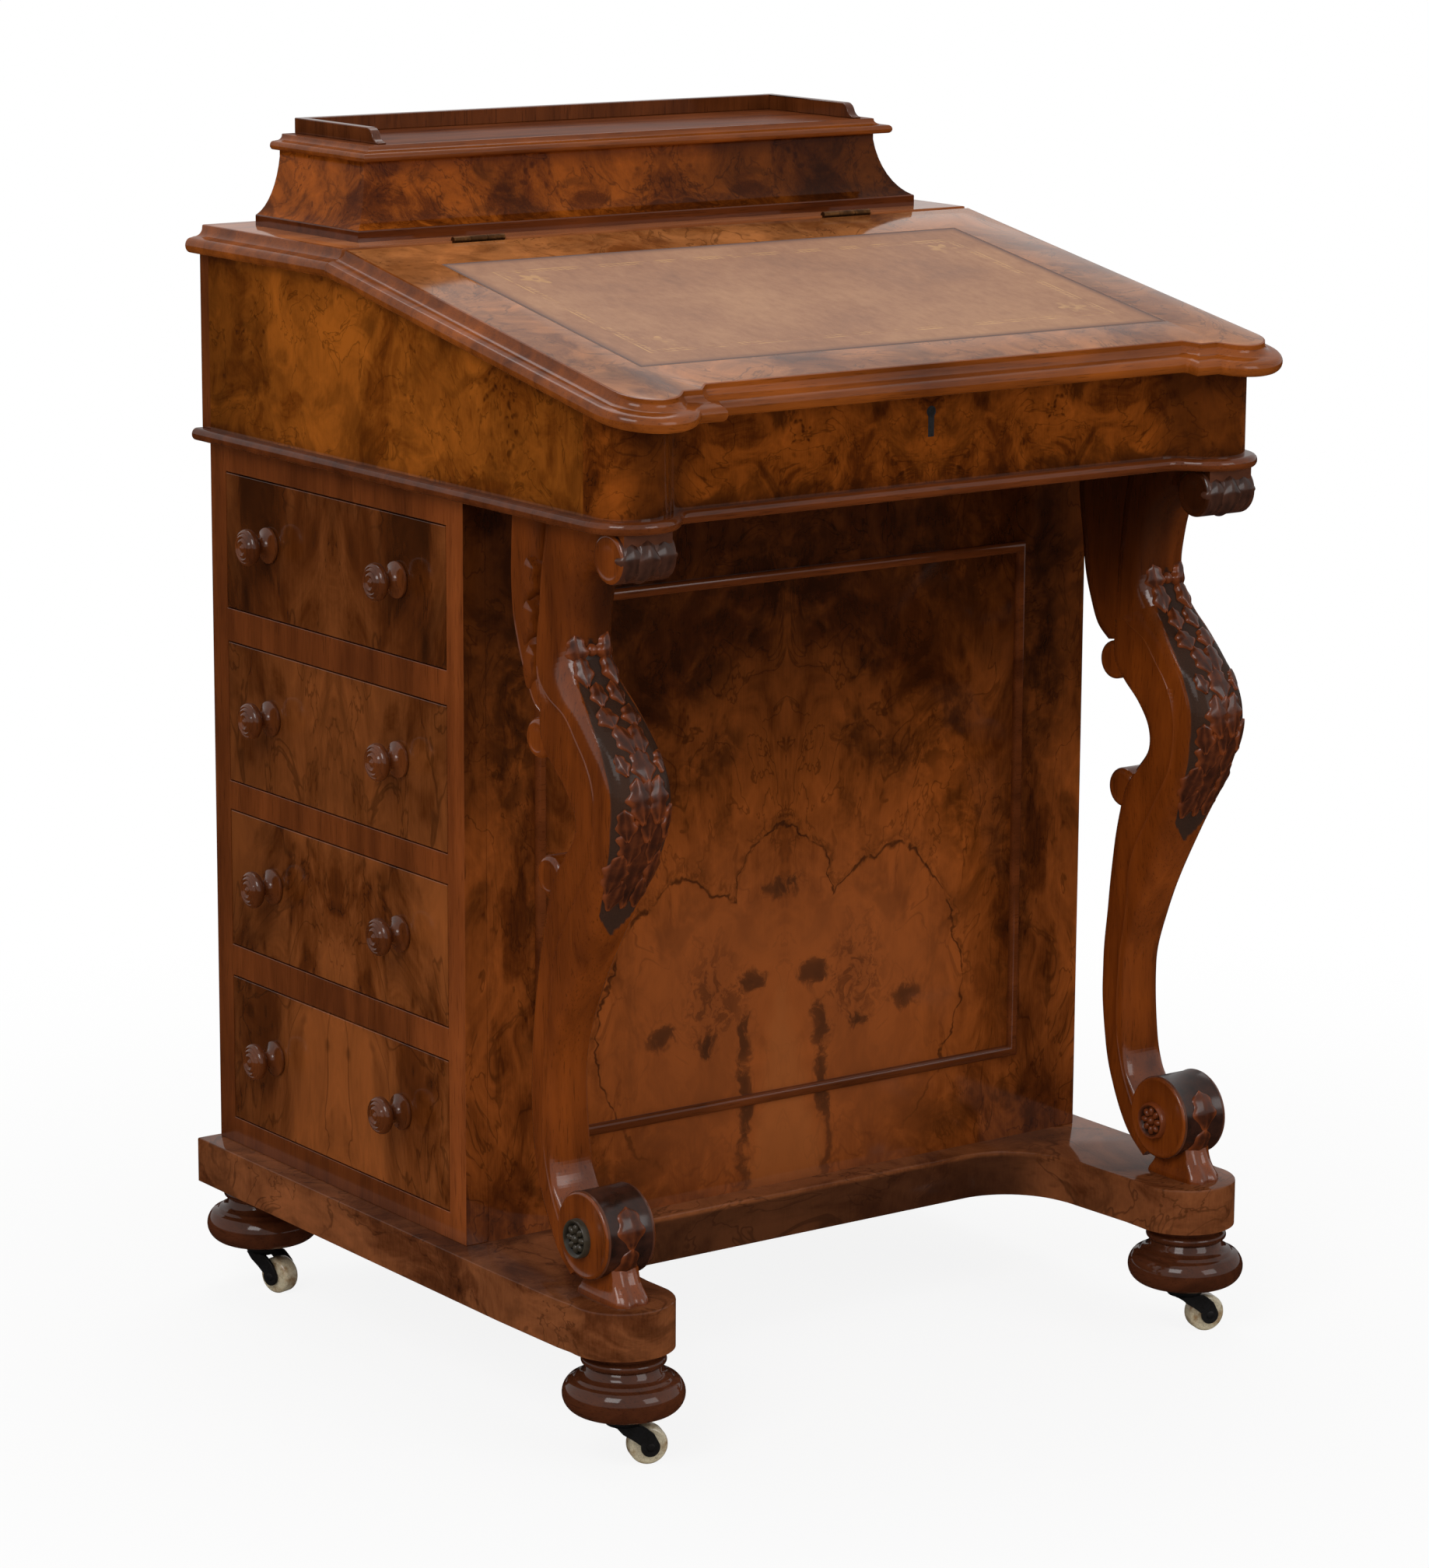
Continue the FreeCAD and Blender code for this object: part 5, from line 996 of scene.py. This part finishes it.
def set_on_knee(work, carving, height, over, turn, centre, length=6.0):
    """Lays a carving on the scroll's front, its tip down and swung out by the turn."""
    place, normal = knee_basis(height, over)
    tip, tip_normal = knee_basis(height - 0.85 * length, over)
    down = (tip - place).normalized()
    normal = normal + tip_normal
    normal = (normal - down * normal.dot(down)).normalized()
    place = place - normal * (GROUND_DEPTH * 0.6)
    basis = Matrix((down.cross(normal), down, normal)).transposed().to_4x4()
    set_in(work, carving, moved(centre + place.x, place.y + FRONT_PLANE, place.z), basis,
           swung(turn))


def wrapped(work, radius):
    """Bends a piece that lies along +Y round a roll that lies along X."""
    for vert in work.verts:
        turn, out = vert.co.y / (radius * MM), radius * MM + vert.co.z
        vert.co.y, vert.co.z = out * math.sin(turn), out * math.cos(turn)
    return work


def scroll_foot(centre):
    """The waisted block under the lower roll, with two reeds down its front and back."""
    rings = []
    for n in range(25):
        height, half, back, front = between(FOOT_RUNGS, 6 * n / 24)
        ring = []
        reed = 2.6 * max(0.0, 1 - (height - PLATFORM_TOP) / 30)
        for step in range(64):
            # round a square whose sides bulge, sixteen places to a side
            along = step % 16 / 8 - 1
            u, v = ((along, -1), (1, along), (-along, 1), (-1, -along))[step // 16]
            proud = reed * (math.sin(math.pi * u) ** 2 - 0.6) if abs(v) == 1 else 0.0
            x, y = u * math.sqrt(1 - 0.22 * v * v), v * math.sqrt(1 - 0.22 * u * u)
            ring.append((joiner(
                centre + half * x,
                (back + front) / 2 - y * ((front - back) / 2 - proud) + FRONT_PLANE, height), 0.0))
        rings.append(ring)
    return lofted(rings)


def scroll_support(name, side):
    """All that one support is made of; side is -1 on the sitter's left and 1 on the right."""
    centre = side * SUPPORT_CENTRE
    upper = centre - side * DRAWN_IN
    roll_middle = moved(centre, ROLL_PLACE[0] + FRONT_PLANE, ROLL_PLACE[1])
    head_depth, head_height = HEAD_PLACE[0] + FRONT_PLANE, HEAD_PLACE[1]

    def carved(piece, work, finish, crease=38.0, replaced=()):
        finished("scroll_%s_%s" % (piece, name), work, finish, "carcase",
                 replaced, crease)

    carved("body", lofted(rings_of(SCROLL_RUNGS, 190, centre)), "support_walnut", 34,
           ("scroll_support_" + name,))
    carved("wing", lofted(rings_of(WING_RUNGS, 40, centre)), "support_walnut", 34)
    carved("foot", scroll_foot(centre), "support_walnut", 50)
    # the cheek fills the inner side and is sunk on the outer side, behind the husks
    cheek = lofted(rings_of(CHEEK_RUNGS, 40, centre))
    for vert in cheek.verts:
        out = (vert.co.x - upper * MM) * side
        vert.co.x = upper * MM + side * (out * 0.5 if out > 0 else out)
    carved("cheek", cheek, "support_walnut", 50)

    rolls = roll(20.5, 13.8, 4, upper, -84, 486, rim=1.0)
    set_in(rolls, roll(19, 14.2, 4, upper, -95, 394.5, rim=1.0))
    set_in(rolls, roll(20, 29.6, 2, centre, *ROLL_PLACE, rim=0.6))
    carved("rolls", rolls, "support_walnut")

    head = roll(22, 17, 3, upper, *HEAD_PLACE, rim=1.2)
    set_in(head, block((upper - 19, FRONT_PLANE - 183, 620), (upper + 19, FRONT_PLANE - 140, 634)))
    for face in head.faces:
        face.normal_update()
        face.material_index = abs(face.normal.x) > 0.5
    carved("head", head, ("dark_ground", "support_walnut"))

    carving = bmesh.new()
    for height, over, turn, *shape in KNEE_LEAVES:
        for way in ((-1, 1) if over else (1,)):
            set_on_knee(carving, leaf(*shape), height, way * over, -way * turn, upper, shape[0])
    button = turned([(0, 3.4), (2.0, 3.0), (3.4, 2.0), (4.2, 0.2), (4.4, -3), (0, -3)], 24)
    set_on_knee(carving, button, 549, 0.01, 0, upper)
    carved("carving", carving, "leaf_carving", 50)

    husks = bmesh.new()
    # a husk's tip hangs down and its crown faces out from the wing
    lay = Matrix(((0, 0, side), (-side, 0, 0), (0, -1, 0))).to_4x4()
    for height, depth, length in HUSKS:
        set_in(husks, leaf(length, 14, 6.5, 1, -2.0),
               moved(upper + side * 18.2, depth + FRONT_PLANE, height), lay, swung(12 * side))
    carved("husks", husks, "support_walnut", 60)

    lips = bmesh.new()
    for place, wide, high, long in ((-13, 18, 2.6, 36), (12, 19, 2.4, 33), (-1, 20, 3.6, 40)):
        set_in(lips, wrapped(leaf(long, wide, high, 2), 15.4),
               moved(upper + place, head_depth, head_height), swung(28, "X"), swung(180))
    carved("lip", lips, "dark_carving", 50)

    # the lower roll's front: a dark ground between two rims, a leaf and a petal
    petals = bmesh.new()
    for start, piece in ((44, leaf(28, 23, 2.4, 1)), (98, leaf(30, 19, 2.6, 1))):
        set_in(petals, wrapped(piece, 29.4), roll_middle, swung(start, "X"), swung(180))
    carved("petals", petals, "leaf_carving", 50)
    half_band = [(29.8, 16.4), (30.3, 17.2), (29.8, 18.4), (26, 18.4)]
    band = turned([(r, -h) for r, h in reversed(half_band)] + half_band + [(26, -18.4)], 72)
    carved("band", placed(band, roll_middle @ along_x(1)), "dark_ground")


def rosette():
    """A carved button: a dished rim, eight petals and an eye."""
    work = turned([(0, 2.2), (9.6, 2.2), (11.6, 4.4), (12.6, 4.6), (13.3, 3.6), (13.5, -1.0),
                   (0, -1.0)])
    for number in range(8):
        petal = bmesh.new()
        bmesh.ops.create_uvsphere(petal, u_segments=12, v_segments=8, radius=1)
        set_in(work, petal, swung(45 * number), moved(6.9, 0, 2.2),
               Matrix.Diagonal((0.0034, 0.0023, 0.0026, 1)))
    eye = bmesh.new()
    bmesh.ops.create_uvsphere(eye, u_segments=16, v_segments=10, radius=1)
    set_in(work, eye, moved(0, 0, 2.4), Matrix.Diagonal((0.0032, 0.0032, 0.0036, 1)))
    return work


for side, name in ((-1, "left"), (1, "right")):
    scroll_support(name, side)
bosses = bmesh.new()
button = rosette()
for centre in (-SUPPORT_CENTRE, SUPPORT_CENTRE):
    for side in (-1, 1):
        added(bosses, button, moved(centre + side * 19.9, ROSETTE_PLACE[0] + FRONT_PLANE,
                                    ROSETTE_PLACE[1]), along_x(side))
button.free()
# those on the supports' inner sides are darker
for face in bosses.faces:
    face.material_index = abs(face.calc_center_median().x) < SUPPORT_CENTRE * MM
finished("volute_rosettes", bosses, ("rosette_walnut", "leaf_carving"),
         "carcase", ("volute_bosses",))

# ---------------------------------------------------------------- turned pieces

# turned outlines in millimetres: (radius, height)
KNOB = ((0, -1), (12, -1), (12, 0), (12.7, 0.7), (12.95, 1.6), (12.7, 2.6), (11.3, 3.2), (8.6, 4.2),
        (6.6, 5.8), (5.6, 7.4), (5.4, 8.8), (5.7, 10.1), (6.9, 11.8), (9.2, 13.3), (11.6, 14.5),
        (12.9, 15.8), (13.3, 17.4), (13.1, 19.2), (12.3, 20.6), (11.4, 21.4), (10.8, 21.5),
        (10.3, 21.2), (9.8, 21.6), (9.2, 22.5), (8.5, 23.0), (7.8, 22.8), (7.3, 22.2), (6.8, 22.5),
        (6.1, 23.3), (5.2, 23.6), (4.4, 23.2), (3.8, 22.5), (3.1, 22.3), (2.5, 22.5), (2.0, 23.2),
        (1.2, 23.8), (0, 24))
FOOT = ([(0, 34.0), (14.2, 34.0), (15.5, 36.2), (25, 37.6)] + arc((28.5, 51.2), 13, -88, 44, 20)
        + [(37.2, 60.9), (34.6, 61.4), (33.4, 62.2), (32.4, 63.6)]
        + arc((32.8, 70.2), 6.4, 262, 192, 6) + [(25.6, 70.6), (26.6, 71.6)]
        + arc((26.0, 74.6), 2.9, -70, 75, 8) + [(25.6, 78.4), (25.6, 82.6), (0, 82.6)])
WHEEL = [(2.3, 8), (5, 8), (8.2, 7.2), (8.9, 7.0), (11.0, 7.0)] + arc((10.08, 3.6), 3.4, 80, 8, 6)
WHEEL += [(radius, -height) for radius, height in reversed(WHEEL)] + [WHEEL[0]]
KNOB_RADIUS = 13.3
DUMMY_FACE = -269.8  # the face of the dummy drawers
# an axle's distance from its castor's pivot, and its height
TRAIL = 16
AXLE_HEIGHT = 13.5
# the way from each castor's pivot to its axle, in degrees from X
CASTOR_HEADINGS = {"front_left": -20, "front_right": -15, "rear_left": -75, "rear_right": -40}


def castor_horn():
    """A castor's iron: a domed collar and two slim bowed cheeks with axle caps, trail along X."""
    work = turned([(0, 31.7), (13, 31.7), (13, 30.2), (12, 28.9), (8, 28.2), (7, 26.5),
                   (0, 26.5)], 40)
    outline = [(-7.5, 29.2), (-3, 24), (4, 19.5), (9, 15.5)]
    outline += [(TRAIL + x, AXLE_HEIGHT + y) for x, y in arc((0, 0), 6.6, 160, 380, 14)]
    outline += [(18.5, 23), (13.5, 27.2), (10.5, 29.2)]
    for side in (-1, 1):
        set_in(work, plate([(x, side * 8.6, z) for x, z in outline], (0, side * 2.3, 0)))
        cap = turned([(0, -0.5), (3.1, -0.5), (2.9, 0.35), (2.0, 0.55), (0, 0.55)], 20)
        set_in(work, cap, moved(TRAIL, side * 10.9, AXLE_HEIGHT), swung(-90 * side, "X"))
    return work


def turned_pieces():
    knob = turned(KNOB)
    dummies = bmesh.new()
    for drawer in DRAWERS:
        node = "drawer_%s_knobs" % drawer
        low, high = (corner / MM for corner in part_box(node))
        pair = bmesh.new()
        for y in (low.y + KNOB_RADIUS, high.y - KNOB_RADIUS):
            height = (low.z + high.z) / 2
            added(pair, knob, moved(low.x, y, height), along_x(1))
            added(dummies, knob, moved(DUMMY_FACE, y, height), along_x(-1))
        finished(node + "_turned", pair, "turned_walnut", body_of_node[node],
                 (node,))
    finished("dummy_knobs_turned", dummies, "turned_walnut", "carcase",
             ("dummy_drawer_knobs",))
    foot = turned(FOOT, 72)
    feet = bmesh.new()
    for x in (-FOOT_X, FOOT_X):
        for y in FEET_Y:
            added(feet, foot, moved(x, y, 0))
    finished("bun_feet_turned", feet, "foot_walnut", "carcase", ("bun_feet",))
    wheel = turned(WHEEL, 48)
    for corner, heading in CASTOR_HEADINGS.items():
        node = "castor_wheel_" + corner
        low, high = (corner_place / MM for corner_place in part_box(node))
        middle = (low + high) / 2
        tread = bmesh.new()
        added(tread, wheel, moved(*middle), swung(heading), swung(90, "X"))
        finished(node + "_glazed", tread, "ceramic", body_of_node[node], (node,))
        horn = bmesh.new()
        x = middle.x - TRAIL * math.cos(math.radians(heading))
        y = middle.y - TRAIL * math.sin(math.radians(heading))
        set_in(horn, castor_horn(), moved(x, y, 0), swung(heading))
        node = "castor_horn_" + corner
        finished(node + "_cast", horn, "iron", body_of_node[node], (node,),
                 soften=0.4)


turned_pieces()

# ---------------------------------------------------------------- moulded boards


# the tops' thickness and the width of their moulding
TOP_THICK = 19.5
MOULDING_WIDTH = 15.6
# the share of a board's thickness in the nose at the foot of its moulding
NOSE_SHARE = 0.28


def moulding_levels(thick, width):
    """Steps from the widest line of a board's nose: (inset, rise) upwards, then downwards."""
    nose = NOSE_SHARE * thick
    quarter = [math.radians(15 * n) for n in range(1, 7)]
    up = [(nose * (1 - math.cos(a)) * 0.9, nose * math.sin(a)) for a in quarter]
    down = [(inset, -rise) for inset, rise in up]
    shelf = nose + 0.03 * thick
    up += [(0.47 * width, shelf)]
    up += [(0.47 * width + 0.43 * width * math.sin(a), shelf + 0.30 * thick * (1 - math.cos(a)))
           for a in (math.radians(9 * n) for n in range(1, 11))]
    up += [(0.915 * width, thick - nose - 0.02 * thick), (width, thick - nose)]
    return up, down


def moulded_board(outline, thick, width):
    """A board with a moulded edge, its top at height 0; its flat top is its second finish."""
    work = plate([(x, y, NOSE_SHARE * thick - thick) for x, y in outline], (0, 0, 0.02))
    caps = sorted((face for face in work.faces if len(face.verts) > 8 or abs(face.normal.z) > 0.9),
                  key=lambda face: face.normal.z)
    for cap, levels in zip((caps[0], caps[-1]), reversed(moulding_levels(thick, width))):
        inset = rise = 0.0
        for next_inset, next_rise in levels:
            bmesh.ops.inset_region(
                work, faces=[cap], thickness=max(next_inset - inset, 0.005) * MM,
                depth=abs(next_rise - rise) * MM, use_even_offset=True, use_boundary=True)
            inset, rise = next_inset, next_rise
    caps[-1].material_index = 1
    return work


def recessed(work, *cutters):
    """Takes the cutters out of the work with a boolean, one after another."""
    mesh = meshed("recessed", work)
    for _ in range(2):
        mesh.materials.append(None)
    item = linked("recessed", mesh)
    tools = []
    for cutter in cutters:
        bmesh.ops.recalc_face_normals(cutter, faces=cutter.faces)
        tool = linked("cutter", meshed("cutter", cutter))
        tools.append(tool)
        cut = item.modifiers.new("recess", "BOOLEAN")
        cut.operation = "DIFFERENCE"
        cut.object = tool
        cut.solver = "EXACT"
    result = bmesh.new()
    result.from_mesh(item.evaluated_get(bpy.context.evaluated_depsgraph_get()).to_mesh())
    for gone in [item, *tools]:
        shape = gone.data
        bpy.data.objects.remove(gone)
        bpy.data.meshes.remove(shape)
    return result


def hinge_rooms(nearest, furthest):
    """Cutters for both hinges: their leaves, between two depths, and their round knuckles."""
    half, radius = 21.3, 2.7
    cutters = [block((x - 21.2, nearest, 773.5), (x + 21.2, furthest, 790)) for x in HINGES_X]
    for x in HINGES_X:
        knuckle = turned([(0, -half), (radius, -half), (radius, half), (0, half)], 24)
        cutters.append(placed(knuckle, moved(x, HINGE_LINE, 788.4) @ along_x(1)))
    return cutters


def room_for(node, around, below, above):
    """A cutter that leaves room for a piece: so much round it, below it and above it."""
    low, high = (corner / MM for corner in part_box(node))
    return block((low.x - around, low.y - around, low.z - below),
                 (high.x + around, high.y + around, high.z + above))


def base_platform():
    """The platform: a deep back with two round-ended arms that carry the supports."""
    low, high = (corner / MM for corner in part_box("base_platform"))
    end = (FOOT_X, low.y + 40.6)
    right = [(high.x, high.y), (high.x, end[1] + 90), (284.6, end[1] + 20)]
    right += arc(end, 36.6, 8, -178, 30) + [(210.6, end[1] + 20), (206.5, -141)]
    right += arc((151, -144.25), 55, 12, 90, 14)
    outline = right + [(-x, y) for x, y in reversed(right)]
    work = plate([(x, y, low.z) for x, y in outline], (0, 0, high.z - low.z))
    rims = [edge for edge in work.edges if abs(edge.verts[0].co.z - edge.verts[1].co.z) < 1e-6
            and edge.verts[0].co.z > (low.z + 5) * MM]
    bmesh.ops.bevel(work, geom=rims, offset=1.4 * MM, segments=3, profile=0.5, affect="EDGES",
                    material=-1)
    finished("base_platform_veneered", work, "base_burr", "carcase",
             ("base_platform",), crease=24)


base_platform()


def slope_lid():
    lobe = (247, -333.05)
    right = [(285, 10)] + arc(lobe, 38, 0, -138, 22)
    right += [(198, -358.61), (196.5, -350.4), (195, -348.95)]
    work = moulded_board(right + [(-x, y) for x, y in reversed(right)], TOP_THICK,
                         MOULDING_WIDTH)
    work = recessed(work, block((-222.3, -292.2, -0.8), (222.3, -50.1, 2)),
                    block((-17.2, -298.7, -21), (17.2, -286.3, -18.2)))
    placed(work, moved(0, HINGE_LINE, TOP_HEIGHT) @ Matrix.Rotation(math.atan(SLOPE), 4, "X"))
    cut_away(work, (0, 78.6, 780), (0, 1, 0))
    work = recessed(work, *hinge_rooms(77.2, 80), room_for("slope_lock_bolt", 2, 20, 8.5))
    finished("slope_lid_moulded", work, ("moulding_walnut", "top_burr_with_sheen", "moulding_walnut"),
             body_of_node["slope_lid"], ("slope_lid",), crease=24)


def level_top():
    work = moulded_board([(285, 50), (285, 300), (-285, 300), (-285, 50)], TOP_THICK,
                         MOULDING_WIDTH)
    bmesh.ops.translate(work, vec=joiner(0, 0, TOP_HEIGHT), verts=work.verts)
    cut_away(work, (0, 78.9, 780), (0, -1, 0))
    cut_away(work, (0, 268.15, 780), (0, 1, 0))
    work = recessed(work, *hinge_rooms(78, 80.2))
    finished("level_top_moulded", work, ("moulding_walnut", "level_walnut_with_sheen", "moulding_walnut"),
             "carcase", ("level_top",), crease=24)


def stationery_lid():
    work = moulded_board([(230, 114.75), (230, 270), (-230, 270), (-230, 114.75)], 10.85, 11)
    bmesh.ops.translate(work, vec=joiner(0, 0, 852), verts=work.verts)
    cut_away(work, (0, 241.5, 845), (0, 1, 0))
    work = recessed(work, room_for("stationery_lock_strike", 0.05, 2, 0.05),
                    room_for("stationery_lock_bolt", 2, 2, 7.5))
    finished("stationery_lid_moulded", work, ("moulding_walnut", "box_walnut", "moulding_walnut"),
             body_of_node["stationery_lid"], ("stationery_lid",), crease=24)


def keyhole_shade_plates():
    """Each keyhole's dark iron plate, a round eye over a slot, flush with the wood: painted shade
    for the hole.
    """
    # the eye stands above the front's lower corner, 0, or below its upper one, 1
    for node, corner_number, rise, radius, half_slot, drop in (
            ("writing_box_front", 0, 48, 3.9, 2.5, 17),
            ("stationery_box_front", 1, -13, 2.3, 1.3, 9)):
        eye = [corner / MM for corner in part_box(node)][corner_number].z + rise
        face = min(vert.co.y / MM for vert in nodes[node].data.vertices
                   if abs(vert.co.x) < 0.004 and vert.co.z > (eye - 6) * MM)
        start = math.degrees(math.asin(half_slot / radius))
        outline = arc((0, eye), radius, start - 90, 270 - start, 20) + [
            (-half_slot, eye - drop), (half_slot, eye - drop)]
        # the plate is painted shade: a dark sheet standing in for the shadow inside the keyhole
        work = plate([(x, face - 0.05, z) for x, z in outline], (0, 0.8, 0))
        finished("keyhole_shade_of_" + node, work, "iron", body_of_node[node])


slope_lid()
level_top()
stationery_lid()
keyhole_shade_plates()


# ---------------------------------------------------------------- studio

CAMERA_PLACE = (-2.0789, -2.87015, 1.1590)
CAMERA_TURNS = (35.758, -12.158, 0.308)  # yaw, pitch and roll in degrees
SENSOR_WIDTH = 36
LENS_LENGTH = 6505.5 / 2016  # in lengths of the frame's longer side


def camera():
    """The camera stands in front of the desk on its left, a little above the top."""
    yaw, pitch, lean = (math.radians(angle) for angle in CAMERA_TURNS)
    level = math.cos(pitch)
    ahead = Vector((math.sin(yaw) * level, math.cos(yaw) * level, math.sin(pitch)))
    side = Vector((math.cos(yaw), -math.sin(yaw), 0))
    up = side.cross(ahead)
    across = side * math.cos(lean) + up * math.sin(lean)
    upright = up * math.cos(lean) - side * math.sin(lean)
    data = bpy.data.cameras.new("camera")
    item = linked("camera", data)
    item.matrix_world = Matrix((across, upright, -ahead)).transposed().to_4x4()
    item.location = CAMERA_PLACE
    data.sensor_fit = "AUTO"
    data.sensor_width = SENSOR_WIDTH
    data.lens = LENS_LENGTH * SENSOR_WIDTH
    bpy.context.scene.camera = item


def seen_white(finish, lit, white):
    """Camera rays see white, mirrored rays see a dim floor and the rest see what is lit."""
    path = finish.tree.nodes.new("ShaderNodeLightPath")
    seen = finish.most(Signal(finish, path.outputs["Is Camera Ray"]),
                       Signal(finish, path.outputs["Is Transmission Ray"]))
    bright, dim = (finish.node("ShaderNodeEmission", (), {"Color": WHITE, "Strength": strength})
                   for strength in (1.0, 0.01))
    mirrored = finish.node("ShaderNodeMixShader", (), {
        0: Signal(finish, path.outputs["Is Glossy Ray"]), 1: lit, 2: dim})
    return finish.node("ShaderNodeMixShader", (), {0: seen * white, 1: mirrored, 2: bright})


def floor():
    """A pale floor that runs far behind the desk, keeps its shadow and fades into white."""
    finish = Finish("pale_floor")
    lit = finish.node("ShaderNodeBsdfDiffuse", (), {"Color": tone(244, 244, 243)})
    x, y, _ = finish.axes()
    away = finish.math("SQRT", x * x + y * y)
    finish.node("ShaderNodeOutputMaterial", (), {
        "Surface": seen_white(finish, lit, finish.band(away, 0.2, 1.3, 0.88, 1.0))}, None)
    work = bmesh.new()
    bmesh.ops.create_grid(work, x_segments=8, y_segments=8, size=30)
    mesh = meshed("floor", work)
    mesh.materials.append(finish.material)
    item = linked("floor", mesh)


def softbox(name, place, aim, size, power):
    """A square lamp; power is for a lamp at its distance from the aim."""
    data = bpy.data.lights.new(name, "AREA")
    data.shape = "SQUARE"
    data.size = size
    data.energy = power
    item = linked(name, data)
    item.location = place
    item.rotation_mode = "QUATERNION"
    item.rotation_quaternion = (Vector(aim) - Vector(place)).to_track_quat("-Z", "Y")


def studio():
    """Plain soft light: the room lights evenly, is white to look at and dimmer in the polish."""
    world = bpy.data.worlds.new("studio")
    bpy.context.scene.world = world
    world.use_nodes = True
    tree = world.node_tree
    tree.nodes.clear()
    path = tree.nodes.new("ShaderNodeLightPath")
    shader = None
    for strength, rays in ((0.34, None), (0.75, "Is Glossy Ray"), (1.0, "Is Camera Ray")):
        room = tree.nodes.new("ShaderNodeBackground")
        room.inputs["Color"].default_value = WHITE
        room.inputs["Strength"].default_value = strength
        if rays:
            mixed = tree.nodes.new("ShaderNodeMixShader")
            tree.links.new(path.outputs[rays], mixed.inputs[0])
            tree.links.new(shader, mixed.inputs[1])
            tree.links.new(room.outputs[0], mixed.inputs[2])
            shader = mixed.outputs[0]
        else:
            shader = room.outputs[0]
    out = tree.nodes.new("ShaderNodeOutputWorld")
    tree.links.new(shader, out.inputs[0])
    softbox("window_light", (-2.6, -1.6, 2.6), (0, 0, 0.5), 1.6, 48)
    softbox("top_light", (0.4, 0.9, 3.0), (0, 0, 0.6), 1.8, 25)
    softbox("front_light", (0.9, -3.2, 1.7), (0, 0, 0.4), 1.6, 24)
    bpy.context.scene.view_settings.view_transform = "Standard"


camera()
floor()
studio()
